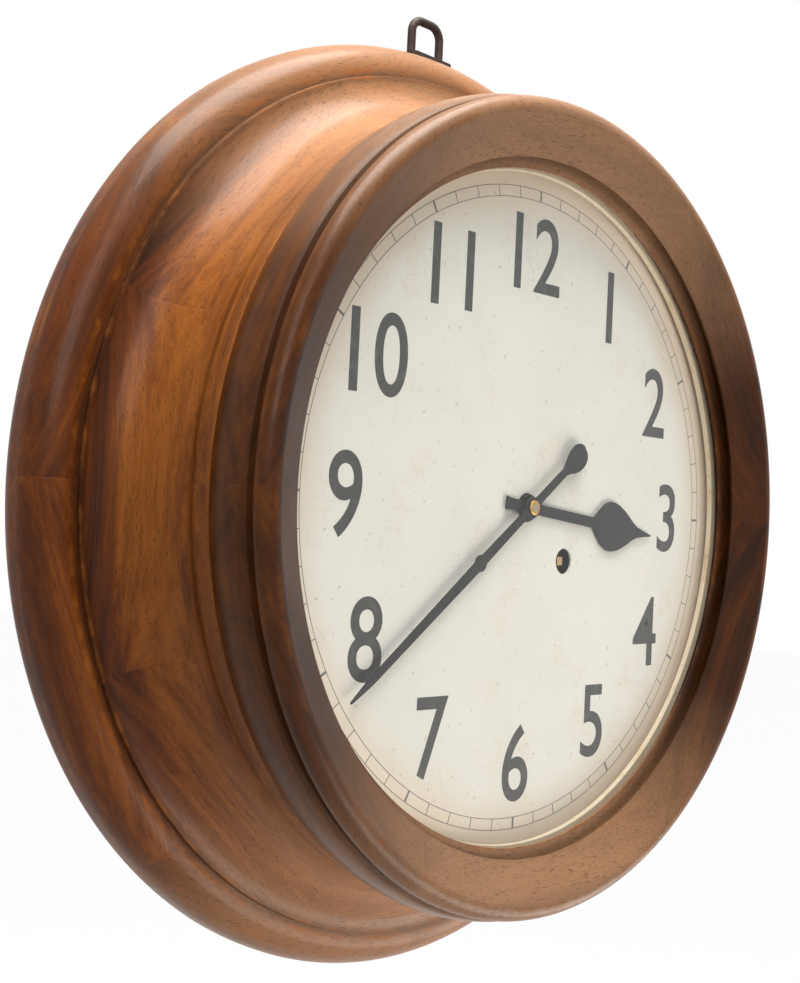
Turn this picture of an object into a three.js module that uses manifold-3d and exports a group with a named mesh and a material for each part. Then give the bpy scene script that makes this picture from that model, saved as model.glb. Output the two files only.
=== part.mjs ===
// A round gallery wall clock: a turned hardwood drum case with a hinged glazed bezel, a painted
// sheet dial, and behind it an eight-day movement with one mainspring, a fusee and a short pendulum.
// Lengths are in millimetres. Inside the clock, x points right as seen from the front, y points up
// and z from the wall to the front. The whole clock is then stood up, with +Z up and its front
// looking along -Y. The origin is the centre of the back, on the wall.
import * as THREE from 'three';
import { mergeVertices } from 'three/addons/utils/BufferGeometryUtils.js';
import Module from 'manifold-3d';

const wasm = await Module();
wasm.setup();

// Fits shared by all pieces
const seatGap = 0.3;
const runningGap = 0.08;
const overrun = 1;

// Turned case
const openingRadius = 150;
const dialMargin = 10;
const dialLap = 5;
const bodyWall = 20.5;
const beadStand = 2.5;
const coveSet = 25;
const quirkSet = 3;
const noseSet = 14;
const rimSet = 8.5;
const rimRise = 9;
const rimBand = 4;
const noseDepth = 15;
const quirkDepth = 2.5;
const beadFillet = 2;
const beadBand = 11;
const boardLap = 8;
const boardThickness = 8.7;

// Depths from the wall to the front
const pendulumRoom = 20;
const plateThickness = 2.4;
const plateSpacing = 35.2;
const motionRoom = 15;
const motionGap = 0.9;
const dialSheet = 1;
const dialSkirt = 4.7;

// Bezel
const ringInset = 0.5;
const rollStand = 4;
const rollDepth = 22;
const ringQuirk = 1.6;
const crownRadius = 5.6;
const crownHeight = 16.3;
const crownInset = 8.4;
const lipThickness = 1.2;
const glassLap = 4.2;
const glassThickness = 2.4;
const glassClearance = 0.4;
const glazingDepth = 2.7;
const recessGap = 3.5;

// Bezel hinge and catch
const hingeHalfHeight = 18;
const hingeSheet = 1.5;
const knuckleRadius = 2.8;
const knuckleHalf = 5.7;
const hingePinRadius = 1.1;
const hingeLeafDepth = 12;
const hingeSetback = 1;
const hingePinStandout = 0.5;
const catchPinRadius = 1.4;
const catchPinLength = 8;
const catchWidth = 9;
const catchHeight = 12;
const catchDepth = 13;
const catchSheet = 0.9;

// Hanging loop
const loopHalfWidth = 10;
const loopHeight = 20;
const loopCorner = 6.5;
const loopLevel = 8;
const loopBar = 2.1;
const loopFootHalf = 14;
const loopFootDepth = 13;
const loopFootThickness = 2.6;

// Wheels: teeth and leaves, and the size of a tooth
const greatTeeth = 84;
const centreLeaves = 7;
const centreTeeth = 72;
const thirdLeaves = 6;
const thirdTeeth = 70;
const escapeLeaves = 6;
const escapeTeeth = 30;
const cannonLeaves = 8;
const minuteTeeth = 24;
const minuteLeaves = 6;
const hourTeeth = 24;
const greatModule = 0.83;
const centreModule = 0.72;
const thirdModule = 0.6;
const cannonModule = 0.9375;
const wheelThickness = 2;
const pinionLength = 4.5;
const pinionStandout = 1;
const thirdWheelRise = 3;
const tenonStandout = 1;
const escapeRadius = 16;
const escapeToothDepth = 3.4;

// Movement
const windingAngle = -39;
const minuteStudAngle = 62;
const escapeHeight = 36;
const anchorRise = 22.6;
const plateHalfWidth = 62;
const plateEdge = 8.4;
const pillarInset = 8;
const pillarClearance = 1.4;
const pillarRadius = 3.4;
const pillarBelly = 5;
const tenonRadius = 1.8;
const pivotRadius = 0.9;
const studCollarRadius = 1.9;
const fuseeArborRadius = 2.9;
const windingSquare = 4;
const windingSquareLength = 13.7;
const windingHoleRadius = 6;

// Fusee, barrel and chain
const fuseeLarge = 18;
const fuseeSmall = 8.4;
const fuseeLength = 19;
const fuseePitch = 3.2;
const fuseeGroove = 0.9;
const fuseeCap = 1.6;
const fuseeCurveShare = 1.4;
const ratchetRadius = 12;
const ratchetTooth = 1.6;
const barrelRadius = 24;
const barrelWall = 1.2;
const barrelClearance = 2.2;
const barrelArborRadius = 2.3;
const barrelHubRadius = 6.5;
const springStrip = 0.9;
const springTurns = 3;
const chainRadius = 0.6;
const chainClearance = 4.4;
const setupRatchetRadius = 8;
const clickEye = 2;
const clickNose = 5.4;

// Pendulum, anchor and suspension
const pendulumClearance = 1.6;
const bobRadius = 24;
const bobThickness = 12;
const rodRadius = 1.4;
const ratingNutRadius = 4;
const ratingNutHeight = 4;
const rodTail = 3;
const suspensionLength = 12.6;
const suspensionWidth = 4;
const suspensionStrip = 0.2;
const cockHalfWidth = 5;
const cockFootHalf = 15;
const cockClearance = 1.8;
const cockFlange = 1;
const chopCheek = 1;
const chopHead = 2;
const cockSheet = 2;
const palletClearance = 1.5;
const anchorThickness = 3.4;
const crutchLength = 66;
const crutchSheet = 1.6;
const crutchFork = 1.2;
const crutchGap = 1;

// Hands and what holds them
const minuteHandMargin = 13;
const minuteTailLength = 49;
const hourHandLength = 100;
const handSheet = 0.8;
const handGap = 1;
const handNutThickness = 1;
const minuteHubRadius = 5;
const bowSpringHalf = 6;
const hourHubRadius = 6;
const minuteHandAngle = 233;
const hourHandAngle = 95.5;
const pipeWall = 0.75;
const dialHoleRadius = 6.6;
const handNutRadius = 3.4;

// Dial fixings
const dialFootRadius = 3;
const dialFootX = 38;
const dialFootInset = 9;
const dialScrewHead = 2.3;
const dialScrewShank = 1.1;
const dialScrewLength = 11;
const dialScrewHeadDepth = 1;

// Sides of the round shapes
const caseSides = 36;
const drumSides = 20;
const roundSides = 10;
const smallSides = 8;

// Levels that follow from the depths above
const boardFront = boardThickness + seatGap;
const backPlateBack = boardFront + pendulumRoom;
const backPlateFront = backPlateBack + plateThickness;
const frontPlateBack = backPlateFront + plateSpacing;
const frontPlateFront = frontPlateBack + plateThickness;
const dialBack = frontPlateFront + motionRoom;
const dialFront = dialBack + dialSheet;
const bodyDepth = dialBack - dialSkirt - seatGap;
const ringBack = bodyDepth + seatGap + seatGap;
const hourHandBack = dialFront + handGap;
const hourHandFront = hourHandBack + handSheet;
const minuteHandBack = hourHandFront + handGap;
const minuteHandFront = minuteHandBack + handSheet;
const cannonPipeFront = minuteHandFront + seatGap;
const handNutBack = cannonPipeFront + seatGap;
const handNutFront = handNutBack + handNutThickness;
const glassBack = handNutFront + glassClearance;
const glassFront = glassBack + glassThickness;
const openingLevel = glassFront + seatGap + lipThickness;
const glazingFront = glassBack - seatGap;
const glazingBack = glazingFront - glazingDepth;

// Radii that follow from the opening
const dialRadius = openingRadius + dialMargin;
const drumRadius = dialRadius - dialLap;
const neckRadius = drumRadius + bodyWall;
const beadRadius = neckRadius + beadStand;
const coveTop = neckRadius + coveSet;
const noseFoot = coveTop + quirkSet;
const rimRadius = noseFoot + noseSet;
const boardRadius = drumRadius + boardLap;
const recessRadius = dialRadius + recessGap;
const ringFoot = beadRadius - ringInset;
const ringRadius = ringFoot + rollStand;
const glassRadius = openingRadius + glassLap;

const degrees = THREE.MathUtils.degToRad;
const fullTurn = 2 * Math.PI;

// Shape helpers

function arc(centreR, centreZ, radiusR, radiusZ, from, to, steps) {
  return Array.from({ length: steps + 1 }, (_, i) => {
    const angle = degrees(from + ((to - from) * i) / steps);
    return [centreR + radiusR * Math.cos(angle), centreZ + radiusZ * Math.sin(angle)];
  });
}

// A profile of [radius, z] points turned about the z axis
function turned(profile, sides) {
  const area = profile.reduce((sum, [r, z], i) => {
    const [nextR, nextZ] = profile[(i + 1) % profile.length];
    return sum + r * nextZ - nextR * z;
  }, 0);
  const ordered = area > 0 ? profile : [...profile].reverse();
  const closed = ordered[0][0] === 0 ? ordered : [...ordered, ordered[0]];
  const points = closed.map(([r, z]) => new THREE.Vector2(r, z));
  return new THREE.LatheGeometry(points, sides).rotateX(Math.PI / 2);
}

// Stacked round steps, each [radius, level where it ends], from a first level
function stepped(from, steps, sides) {
  const profile = [[0, from]];
  let level = from;
  for (const [radius, end] of steps) {
    profile.push([radius, level], [radius, end]);
    level = end;
  }
  return turned([...profile, [0, level]], sides);
}

// A washer or tube
function tube(inner, outer, from, to, sides) {
  return turned([[inner, from], [outer, from], [outer, to], [inner, to]], sides);
}

// Corners of a round hole whose flats stay clear of a pin of this radius
function roundHole([x, y], radius, sides = smallSides) {
  const corner = radius / Math.cos(Math.PI / sides);
  return Array.from({ length: sides }, (_, i) => {
    const angle = (fullTurn * i) / sides;
    return [x + corner * Math.cos(angle), y + corner * Math.sin(angle)];
  });
}

function outline(points, holes = []) {
  const shape = new THREE.Shape(points.map(([x, y]) => new THREE.Vector2(x, y)));
  shape.holes = holes.map((hole) => new THREE.Path(hole.map(([x, y]) => new THREE.Vector2(x, y))));
  return shape;
}

function flat(shape, from, to) {
  const geometry = new THREE.ExtrudeGeometry(shape, { depth: to - from, bevelEnabled: false });
  return geometry.translate(0, 0, from);
}

function block([x0, x1], [y0, y1], [z0, z1]) {
  const geometry = new THREE.BoxGeometry(x1 - x0, y1 - y0, z1 - z0);
  return geometry.translate((x0 + x1) / 2, (y0 + y1) / 2, (z0 + z1) / 2);
}

// An upright round bar, along y
function upright(radius, [y0, y1], z, sides) {
  return new THREE.CylinderGeometry(radius, radius, y1 - y0, sides).translate(0, (y0 + y1) / 2, z);
}

function bar(section, points, steps) {
  const path = new THREE.CatmullRomCurve3(points.map((p) => new THREE.Vector3(...p)));
  const corners = roundHole([0, 0], section * Math.cos(Math.PI / smallSides));
  return new THREE.ExtrudeGeometry(outline(corners), { steps, bevelEnabled: false, extrudePath: path });
}

function asManifold(geometry) {
  const bare = geometry.clone();
  bare.deleteAttribute('normal');
  bare.deleteAttribute('uv');
  const merged = mergeVertices(bare);
  const corners = merged.index.array;
  const kept = [];
  for (let i = 0; i < corners.length; i += 3) {
    const [a, b, c] = corners.slice(i, i + 3);
    if (a !== b && b !== c && c !== a) kept.push(a, b, c);
  }
  return new wasm.Manifold(new wasm.Mesh({
    numProp: 3,
    vertProperties: merged.attributes.position.array,
    triVerts: new Uint32Array(kept),
  }));
}

function asGeometry(manifold) {
  const { vertProperties, triVerts } = manifold.getMesh();
  const geometry = new THREE.BufferGeometry();
  geometry.setAttribute('position', new THREE.BufferAttribute(vertProperties, 3));
  geometry.setIndex(new THREE.BufferAttribute(triVerts, 1));
  const plain = geometry.toNonIndexed();
  plain.computeVertexNormals();
  return plain;
}

function joined(...geometries) {
  return asGeometry(geometries.map(asManifold).reduce((whole, next) => whole.add(next)));
}

function cut(geometry, ...tools) {
  return asGeometry(tools.map(asManifold).reduce((whole, next) => whole.subtract(next), asManifold(geometry)));
}

// Toothed wheels
// Heights are shares of the module, half widths are shares of the tooth pitch.
// They leave running room at every angle of a straight-flanked wheel and its pinion.
const wheelToothShares = { addendum: 1.1, dedendum: 1.1, root: 0.36 };
const leafShares = { addendum: 0.7, dedendum: 1.5, root: 0.17, pitch: 0.19, tip: 0.1 };
const escapeToothShares = [[0, 0], [1, 0.3], [1, 0.38]];
const ratchetTeeth = 12;

const pitchRadius = (teeth, module) => (teeth * module) / 2;
const wheelTip = (teeth, module) => pitchRadius(teeth, module) + wheelToothShares.addendum * module;
const leafRoot = (leaves, module) => pitchRadius(leaves, module) - leafShares.dedendum * module;
const meshDistance = (teeth, leaves, module) => pitchRadius(teeth + leaves, module);

// Both pairs of the motion work span the same distance
const hourModule = (cannonModule * (minuteTeeth + cannonLeaves)) / (hourTeeth + minuteLeaves);

// One tooth is a list of corners, each a radius and a share of the pitch ahead of the middle
function toothed(count, tooth, phase) {
  const corners = [];
  for (let i = 0; i < count; i += 1) {
    for (const [radius, share] of tooth) {
      const angle = phase + (fullTurn * (i + share)) / count;
      corners.push([radius * Math.cos(angle), radius * Math.sin(angle)]);
    }
  }
  return corners;
}

function wheelOutline(teeth, module, phase) {
  const pitch = pitchRadius(teeth, module);
  const { addendum, dedendum, root } = wheelToothShares;
  const foot = pitch - dedendum * module;
  return toothed(teeth, [[foot, -root], [pitch + addendum * module, 0], [foot, root]], phase);
}

function leafOutline(leaves, module, phase) {
  const pitch = pitchRadius(leaves, module);
  const { addendum, dedendum, root, pitch: middle, tip } = leafShares;
  const rising = [[pitch - dedendum * module, -root], [pitch, -middle], [pitch + addendum * module, -tip]];
  const falling = rising.map(([radius, share]) => [radius, -share]).reverse();
  return toothed(leaves, [...rising, ...falling], phase);
}

// Windows that leave the arms of a crossed-out wheel
const armShares = { hub: 0.3, rim: 0.8, arm: 0.16, steps: 3 };
function crossings(radius, arms) {
  const { hub, rim, arm, steps } = armShares;
  return Array.from({ length: arms }, (_, k) => {
    const edge = (share, i) => {
      const half = (arm * rim) / share / 2;
      const angle = (fullTurn * (k + half + (1 - 2 * half) * i)) / arms;
      return [radius * share * Math.cos(angle), radius * share * Math.sin(angle)];
    };
    const outer = Array.from({ length: steps + 1 }, (_, i) => edge(rim, i / steps));
    return [...outer, edge(hub, 1), edge(hub, 0)];
  });
}

function place(geometry, [x, y]) {
  return geometry.translate(x, y, 0);
}

const polar = (radius, angle) => [radius * Math.cos(degrees(angle)), radius * Math.sin(degrees(angle))];
const bearing = ([x0, y0], [x1, y1]) => Math.atan2(y1 - y0, x1 - x0);
const meshPhase = (towards, leaves) => towards + Math.PI + Math.PI / leaves;

// Finishes, one material for each piece
const finish = (color, roughness, metalness) => () => new THREE.MeshStandardMaterial({ color, roughness, metalness });
const caseWood = finish(0x8a4a22, 0.4, 0);
const bezelWood = finish(0x74391a, 0.38, 0);
const boardWood = finish(0x8d6a44, 0.75, 0);
const dialWhite = finish(0xe4e2d8, 0.5, 0);
const brass = finish(0xb58a42, 0.35, 1);
const steel = finish(0x8c8e90, 0.35, 1);
const blackIron = finish(0x35332f, 0.6, 0.6);
const handBlack = finish(0x1c1b1a, 0.45, 0.2);
const lead = finish(0x6d6a66, 0.6, 0.8);
const glass = () => new THREE.MeshStandardMaterial({
  color: 0xf2f6f4,
  roughness: 0.05,
  metalness: 0,
  transparent: true,
  opacity: 0.25,
});

const clock = new THREE.Group();
function piece(name, geometry, material) {
  const mesh = new THREE.Mesh(geometry, material);
  mesh.name = name;
  clock.add(mesh);
}

// Arbor positions
const centreAt = [0, 0];
const escapeAt = [0, escapeHeight];
const anchorAt = [0, escapeHeight + anchorRise];
const fuseeAt = polar(meshDistance(greatTeeth, centreLeaves, greatModule), windingAngle);
const minuteAt = polar(meshDistance(minuteTeeth, cannonLeaves, cannonModule), minuteStudAngle);
const thirdAt = (() => {
  const toCentre = meshDistance(centreTeeth, thirdLeaves, centreModule);
  const toEscape = meshDistance(thirdTeeth, escapeLeaves, thirdModule);
  const height = (toCentre ** 2 - toEscape ** 2 + escapeHeight ** 2) / (2 * escapeHeight);
  return [-Math.sqrt(toCentre ** 2 - height ** 2), height];
})();

// Levels of the wheels between the plates
const greatBack = backPlateFront + wheelThickness;
const greatFront = greatBack + wheelThickness;
const centreWheelFront = frontPlateBack - pinionLength + seatGap + seatGap;
const centreWheelBack = centreWheelFront - wheelThickness;
const thirdWheelBack = greatFront + thirdWheelRise;
const thirdWheelFront = thirdWheelBack + wheelThickness;
const escapeWheelBack = thirdWheelFront + pinionLength + pinionLength;
const escapeWheelFront = escapeWheelBack + wheelThickness;
const ratchetBack = greatFront + seatGap;
const ratchetFront = ratchetBack + wheelThickness;
const fuseeBack = ratchetFront + seatGap;
const fuseeFront = fuseeBack + fuseeLength;
const barrelBack = greatBack;
const barrelFront = centreWheelBack - barrelClearance;
const chainLevel = (fuseeBack + fuseeFront) / 2;

// The chain leaves the fusee in a straight line that passes just under the centre arbor.
// The barrel touches that line, as near to the fusee as the wheels beside it allow.
const fuseeRadiusAt = (share) => fuseeSmall + (fuseeLarge - fuseeSmall) * (1 - share) ** fuseeCurveShare;
const fuseeWrap = fuseeRadiusAt((chainLevel - chainRadius - fuseePitch - fuseeBack) / fuseeLength) + chainRadius + chainRadius;
const barrelWrap = barrelRadius + chainRadius + chainRadius;
const chainNormal = degrees(windingAngle) + Math.acos(-(chainClearance + fuseeWrap) / Math.hypot(...fuseeAt));
const barrelAt = (() => {
  const normal = [Math.cos(chainNormal), Math.sin(chainNormal)];
  const foot = normal.map((n) => -n * (chainClearance + barrelWrap));
  const along = ([x, y], reach) => {
    const middle = (x - foot[0]) * normal[1] - (y - foot[1]) * normal[0];
    const aside = (x - foot[0]) * normal[0] + (y - foot[1]) * normal[1];
    return Math.sqrt(Math.max(0, reach ** 2 - aside ** 2)) - middle;
  };
  const apart = Math.max(
    along(fuseeAt, wheelTip(greatTeeth, greatModule) + barrelRadius + barrelClearance),
    along(thirdAt, wheelTip(thirdTeeth, thirdModule) + barrelRadius + barrelClearance),
  );
  return [foot[0] - normal[1] * apart, foot[1] + normal[0] * apart];
})();

// The plates reach past the anchor arbor above, and past the pillar beside the great wheel below
const pillarX = plateHalfWidth - pillarInset;
const plateTop = anchorAt[1] + cockHalfWidth + plateEdge;
const pillarBottom = (() => {
  const reach = wheelTip(greatTeeth, greatModule) + pillarBelly + pillarClearance;
  return fuseeAt[1] - Math.sqrt(reach ** 2 - (pillarX - fuseeAt[0]) ** 2);
})();
const plateBottom = pillarBottom - pillarInset;

// Thickness of the arbors
const centreArborRadius = leafRoot(centreLeaves, greatModule) - runningGap;
const thirdArborRadius = leafRoot(thirdLeaves, centreModule) - runningGap;
const escapeArborRadius = leafRoot(escapeLeaves, thirdModule) - runningGap / 2;
const anchorArborRadius = pivotRadius + runningGap;
const cannonInner = centreArborRadius + runningGap + runningGap;
const cannonOuter = cannonInner + pipeWall;
const hourInner = cannonOuter + runningGap + runningGap + runningGap;
const hourOuter = hourInner + pipeWall;

// The case

function caseBody() {
  const noseBack = rimRise + rimBand;
  const coveBack = noseBack + noseDepth + quirkDepth;
  const coveFront = bodyDepth - beadBand - beadFillet;
  const profile = [
    ...arc(rimRadius - rimSet, rimRise, rimSet, rimRise, -90, 0, 2),
    ...arc(noseFoot, noseBack, noseSet, noseDepth, 0, 90, 4),
    [coveTop, coveBack - quirkDepth],
    ...arc(coveTop, coveFront, coveSet, coveFront - coveBack, 270, 180, 4),
    [beadRadius, coveFront + beadFillet],
    [beadRadius, bodyDepth],
    [drumRadius, bodyDepth],
    [drumRadius, boardFront],
    [boardRadius, boardFront],
    [boardRadius, 0],
  ];
  const mortise = block(
    [-catchX - catchWidth / 2, -catchX + catchWidth / 2],
    [-catchHeight / 2, catchHeight / 2],
    [bodyDepth - catchDepth, bodyDepth + overrun],
  );
  const pilots = dialScrewPlaces.map((at) => (
    place(stepped(bodyDepth - dialScrewLength, [[dialScrewShank + seatGap, bodyDepth + overrun]], smallSides), at)
  ));
  return cut(turned(profile, caseSides), mortise, ...pilots);
}

function backBoard() {
  return stepped(0, [[boardRadius - seatGap, boardThickness]], caseSides);
}

// The bezel ring: a half-round roll outside, a quirk, then a crowned bead that slopes to the lip
function bezelRing() {
  const rollMiddle = ringBack + rollDepth / 2;
  const crownAt = ringRadius - crownInset;
  const crownLevel = openingLevel + crownHeight - crownRadius;
  const rebate = glassRadius + seatGap;
  const profile = [
    [recessRadius, ringBack],
    ...arc(ringFoot, rollMiddle, rollStand, rollDepth / 2, -90, 70, 4),
    [ringFoot - ringQuirk / 2, ringBack + rollDepth],
    ...arc(crownAt, crownLevel, crownRadius, crownRadius, 0, 128, 4),
    [openingRadius + glassLap, openingLevel + lipThickness + lipThickness],
    [openingRadius, openingLevel],
    [openingRadius, openingLevel - lipThickness],
    [rebate, openingLevel - lipThickness],
    [rebate, glazingBack - seatGap - seatGap],
    [recessRadius, glazingBack - seatGap - seatGap],
  ];
  return turned(profile, caseSides);
}

const catchX = (recessRadius + ringFoot) / 2;
const dialScrewPlaces = [90, 210, 330].map((angle) => polar((dialRadius + drumRadius) / 2, angle));

piece('case_body', caseBody(), caseWood());
piece('back_board', backBoard(), boardWood());
piece('bezel_ring', bezelRing(), bezelWood());
piece('bezel_glass', stepped(glassBack, [[glassRadius, glassFront]], caseSides), glass());
piece('glazing_ring', tube(openingRadius - seatGap, glassRadius, glazingBack, glazingFront, caseSides), brass());

// Bezel hinge at three o'clock

const hingeAxisX = ringRadius + seatGap + knuckleRadius;
const hingeAxisZ = ringBack + hingeSetback;
const caseLeafX = beadRadius + seatGap;

function knuckle([y0, y1]) {
  const rim = new THREE.CylinderGeometry(knuckleRadius, knuckleRadius, y1 - y0, roundSides);
  return rim.translate(hingeAxisX, (y0 + y1) / 2, hingeAxisZ);
}

function pinHole() {
  const radius = (hingePinRadius + runningGap) / Math.cos(Math.PI / roundSides);
  const reach = hingeHalfHeight + hingeHalfHeight + overrun + overrun;
  return new THREE.CylinderGeometry(radius, radius, reach, roundSides).translate(hingeAxisX, 0, hingeAxisZ);
}

function caseLeaf() {
  const webFront = hingeAxisZ - hingePinRadius - runningGap - seatGap;
  const webBack = hingeAxisZ - knuckleRadius;
  const leaf = block(
    [caseLeafX, caseLeafX + hingeSheet],
    [-hingeHalfHeight, hingeHalfHeight],
    [webFront - hingeLeafDepth, webFront],
  );
  const ends = [
    [-hingeHalfHeight, -knuckleHalf - seatGap],
    [knuckleHalf + seatGap, hingeHalfHeight],
  ];
  const webs = ends.map((end) => block([caseLeafX, hingeAxisX], end, [webBack, webFront]));
  return cut(joined(leaf, ...webs, ...ends.map(knuckle)), pinHole());
}

function bezelLeaf() {
  const leafX = [ringRadius + seatGap, ringRadius + seatGap + hingeSheet];
  const leafBack = hingeAxisZ + knuckleRadius + seatGap + seatGap;
  const leaf = block(leafX, [-hingeHalfHeight, hingeHalfHeight], [leafBack, leafBack + hingeLeafDepth]);
  const web = block(leafX, [-knuckleHalf, knuckleHalf], [hingeAxisZ, leafBack + hingeSheet]);
  return cut(joined(leaf, web, knuckle([-knuckleHalf, knuckleHalf])), pinHole());
}

function hingePin() {
  const reach = hingeHalfHeight + hingeHalfHeight + hingePinStandout + hingePinStandout;
  const pin = new THREE.CylinderGeometry(hingePinRadius, hingePinRadius, reach, roundSides);
  return pin.translate(hingeAxisX, 0, hingeAxisZ);
}

piece('hinge_leaf_case', caseLeaf(), brass());
piece('hinge_leaf_bezel', bezelLeaf(), brass());
piece('hinge_pin', hingePin(), steel());

// Bezel catch at nine o'clock: a pin on the ring that a spring clip in the case grips

function catchClip() {
  const half = catchPinRadius + seatGap + catchSheet;
  const floor = bodyDepth - catchDepth + seatGap;
  const low = block([-half, half], [-half, -half + catchSheet], [floor, bodyDepth - seatGap]);
  const high = block([-half, half], [half - catchSheet, half], [floor, bodyDepth - seatGap]);
  const base = block([-half, half], [-half, half], [floor, floor + catchSheet]);
  return joined(base, low, high).translate(-catchX, 0, 0);
}

piece('catch_clip', catchClip(), brass());
piece(
  'catch_pin',
  place(stepped(ringBack - seatGap - catchPinLength, [[catchPinRadius, ringBack - seatGap]], roundSides), [-catchX, 0]),
  steel(),
);

// Hanging loop on the crown of the back rim

function hangingLoop() {
  const foot = rimRadius + seatGap;
  const bend = foot + loopFootThickness + loopHeight - loopBar - loopCorner;
  const across = loopHalfWidth - loopCorner;
  const corner = (side, from, to) => arc(side * across, bend, side * loopCorner, loopCorner, from, to, 3);
  const start = foot + loopFootThickness / 2;
  const points = [[-loopHalfWidth, start], ...corner(-1, 0, 90), ...corner(1, 90, 0), [loopHalfWidth, start]];
  const steps = 2 * points.length;
  const hoop = bar(loopBar, points.map(([x, y]) => [x, y, loopLevel]), steps);
  const plate = block(
    [-loopFootHalf, loopFootHalf],
    [foot, foot + loopFootThickness],
    [loopLevel - loopFootDepth / 2, loopLevel + loopFootDepth / 2],
  );
  return joined(plate, hoop);
}

piece('hanging_loop', hangingLoop(), blackIron());

// Dial

function dialPlate() {
  const skirtBack = dialBack - dialSkirt;
  const profile = [
    [dialHoleRadius, dialBack],
    [dialRadius - dialSheet, dialBack],
    [dialRadius - dialSheet, skirtBack],
    [dialRadius, skirtBack],
    [dialRadius, dialFront],
    [dialHoleRadius, dialFront],
  ];
  const through = (radius, at) => (
    place(stepped(dialBack - overrun, [[radius, dialFront + overrun]], roundSides), at)
  );
  const screwHoles = dialScrewPlaces.map((at) => through(dialScrewShank + seatGap, at));
  return cut(turned(profile, caseSides), through(windingHoleRadius, fuseeAt), ...screwHoles);
}

piece('dial_plate', dialPlate(), dialWhite());

const dialFeet = [
  [-dialFootX, plateTop - dialFootInset],
  [dialFootX, plateTop - dialFootInset],
  [-dialFootX, plateBottom + dialFootInset],
  [dialFootX, plateBottom + dialFootInset],
];
dialFeet.forEach((at, i) => {
  const foot = stepped(frontPlateBack, [
    [tenonRadius, frontPlateFront + seatGap],
    [dialFootRadius, dialBack - seatGap],
  ], smallSides);
  piece(`dial_foot_${i + 1}`, place(foot, at), brass());
});

dialScrewPlaces.forEach((at, i) => {
  const screw = stepped(bodyDepth - dialScrewLength + seatGap, [
    [dialScrewShank, dialFront + seatGap],
    [dialScrewHead, dialFront + seatGap + dialScrewHeadDepth],
  ], smallSides);
  piece(`dial_screw_${i + 1}`, place(screw, at), brass());
});

// Movement plates and pillars

const pillars = [-1, 1].flatMap((side) => [
  [side * pillarX, plateTop - pillarInset - pillarInset],
  [side * pillarX, pillarBottom],
]);
const plateCorners = [
  [-plateHalfWidth, plateBottom],
  [plateHalfWidth, plateBottom],
  [plateHalfWidth, plateTop],
  [-plateHalfWidth, plateTop],
];
const setupClickAt = [barrelAt[0] + setupRatchetRadius + clickEye, barrelAt[1] + setupRatchetRadius + clickNose];
const tenonHoles = pillars.map((at) => roundHole(at, tenonRadius + runningGap));

function frontPlate() {
  const holes = [
    ...tenonHoles,
    ...dialFeet.map((at) => roundHole(at, tenonRadius + runningGap)),
    roundHole(centreAt, centreArborRadius + runningGap),
    roundHole(fuseeAt, fuseeArborRadius + runningGap),
    roundHole(barrelAt, barrelArborRadius + runningGap),
    roundHole(thirdAt, pivotRadius + runningGap),
    roundHole(escapeAt, pivotRadius + runningGap),
    roundHole(anchorAt, pivotRadius + runningGap),
    roundHole(minuteAt, pivotRadius + runningGap),
    roundHole(setupClickAt, pivotRadius + runningGap),
  ];
  return flat(outline(plateCorners, holes), frontPlateBack, frontPlateFront);
}

function backPlate() {
  const holes = [
    ...tenonHoles,
    roundHole(centreAt, pivotRadius + runningGap),
    roundHole(fuseeAt, fuseeArborRadius / 2 + runningGap),
    roundHole(barrelAt, barrelArborRadius + runningGap),
    roundHole(thirdAt, pivotRadius + runningGap),
    roundHole(escapeAt, pivotRadius + runningGap),
    roundHole(anchorAt, cockHalfWidth),
  ];
  return flat(outline(plateCorners, holes), backPlateBack, backPlateFront);
}

piece('front_plate', frontPlate(), brass());
piece('back_plate', backPlate(), brass());

pillars.forEach((at, i) => {
  const profile = [
    [0, backPlateBack - tenonStandout],
    [tenonRadius, backPlateBack - tenonStandout],
    [tenonRadius, backPlateFront + seatGap],
    [pillarRadius, backPlateFront + seatGap],
    [pillarBelly, (backPlateFront + frontPlateBack) / 2],
    [pillarRadius, frontPlateBack - seatGap],
    [tenonRadius, frontPlateBack - seatGap],
    [tenonRadius, frontPlateFront + tenonStandout],
    [0, frontPlateFront + tenonStandout],
  ];
  piece(`pillar_${i + 1}`, place(turned(profile, smallSides), at), brass());
});

// An arbor between the plates: pivots at both ends, a pinion cut from the same steel
function arborWithPinion(at, radius, leaves, module, [pinionBack, pinionFront], towards) {
  const arbor = stepped(backPlateBack + seatGap, [
    [pivotRadius, backPlateFront + seatGap],
    [radius, frontPlateBack - seatGap],
    [pivotRadius, frontPlateFront - seatGap],
  ], smallSides);
  const pinion = flat(outline(leafOutline(leaves, module, meshPhase(towards, leaves))), pinionBack, pinionFront);
  return place(joined(arbor, pinion), at);
}

function crossedWheel(at, teeth, module, towards, bore, [back, front], arms) {
  const holes = [roundHole([0, 0], bore + runningGap), ...crossings(pitchRadius(teeth, module), arms)];
  return place(flat(outline(wheelOutline(teeth, module, towards), holes), back, front), at);
}

// Centre arbor, which carries the minute hand

function centreArbor() {
  const pinion = leafOutline(centreLeaves, greatModule, meshPhase(bearing(fuseeAt, centreAt), centreLeaves));
  const arbor = stepped(backPlateBack + seatGap, [
    [pivotRadius, backPlateFront + seatGap],
    [centreArborRadius, handNutFront],
  ], smallSides);
  const back = greatBack - pinionStandout;
  return joined(arbor, flat(outline(pinion), back, back + pinionLength));
}

const cannonBack = frontPlateFront + motionGap + motionGap;
const cannonFront = cannonBack + pinionLength;
const minuteWheelBack = cannonBack + seatGap;
const minuteWheelFront = minuteWheelBack + wheelThickness;
const hourWheelBack = cannonFront + motionGap;
const hourWheelFront = hourWheelBack + wheelThickness;

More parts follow.
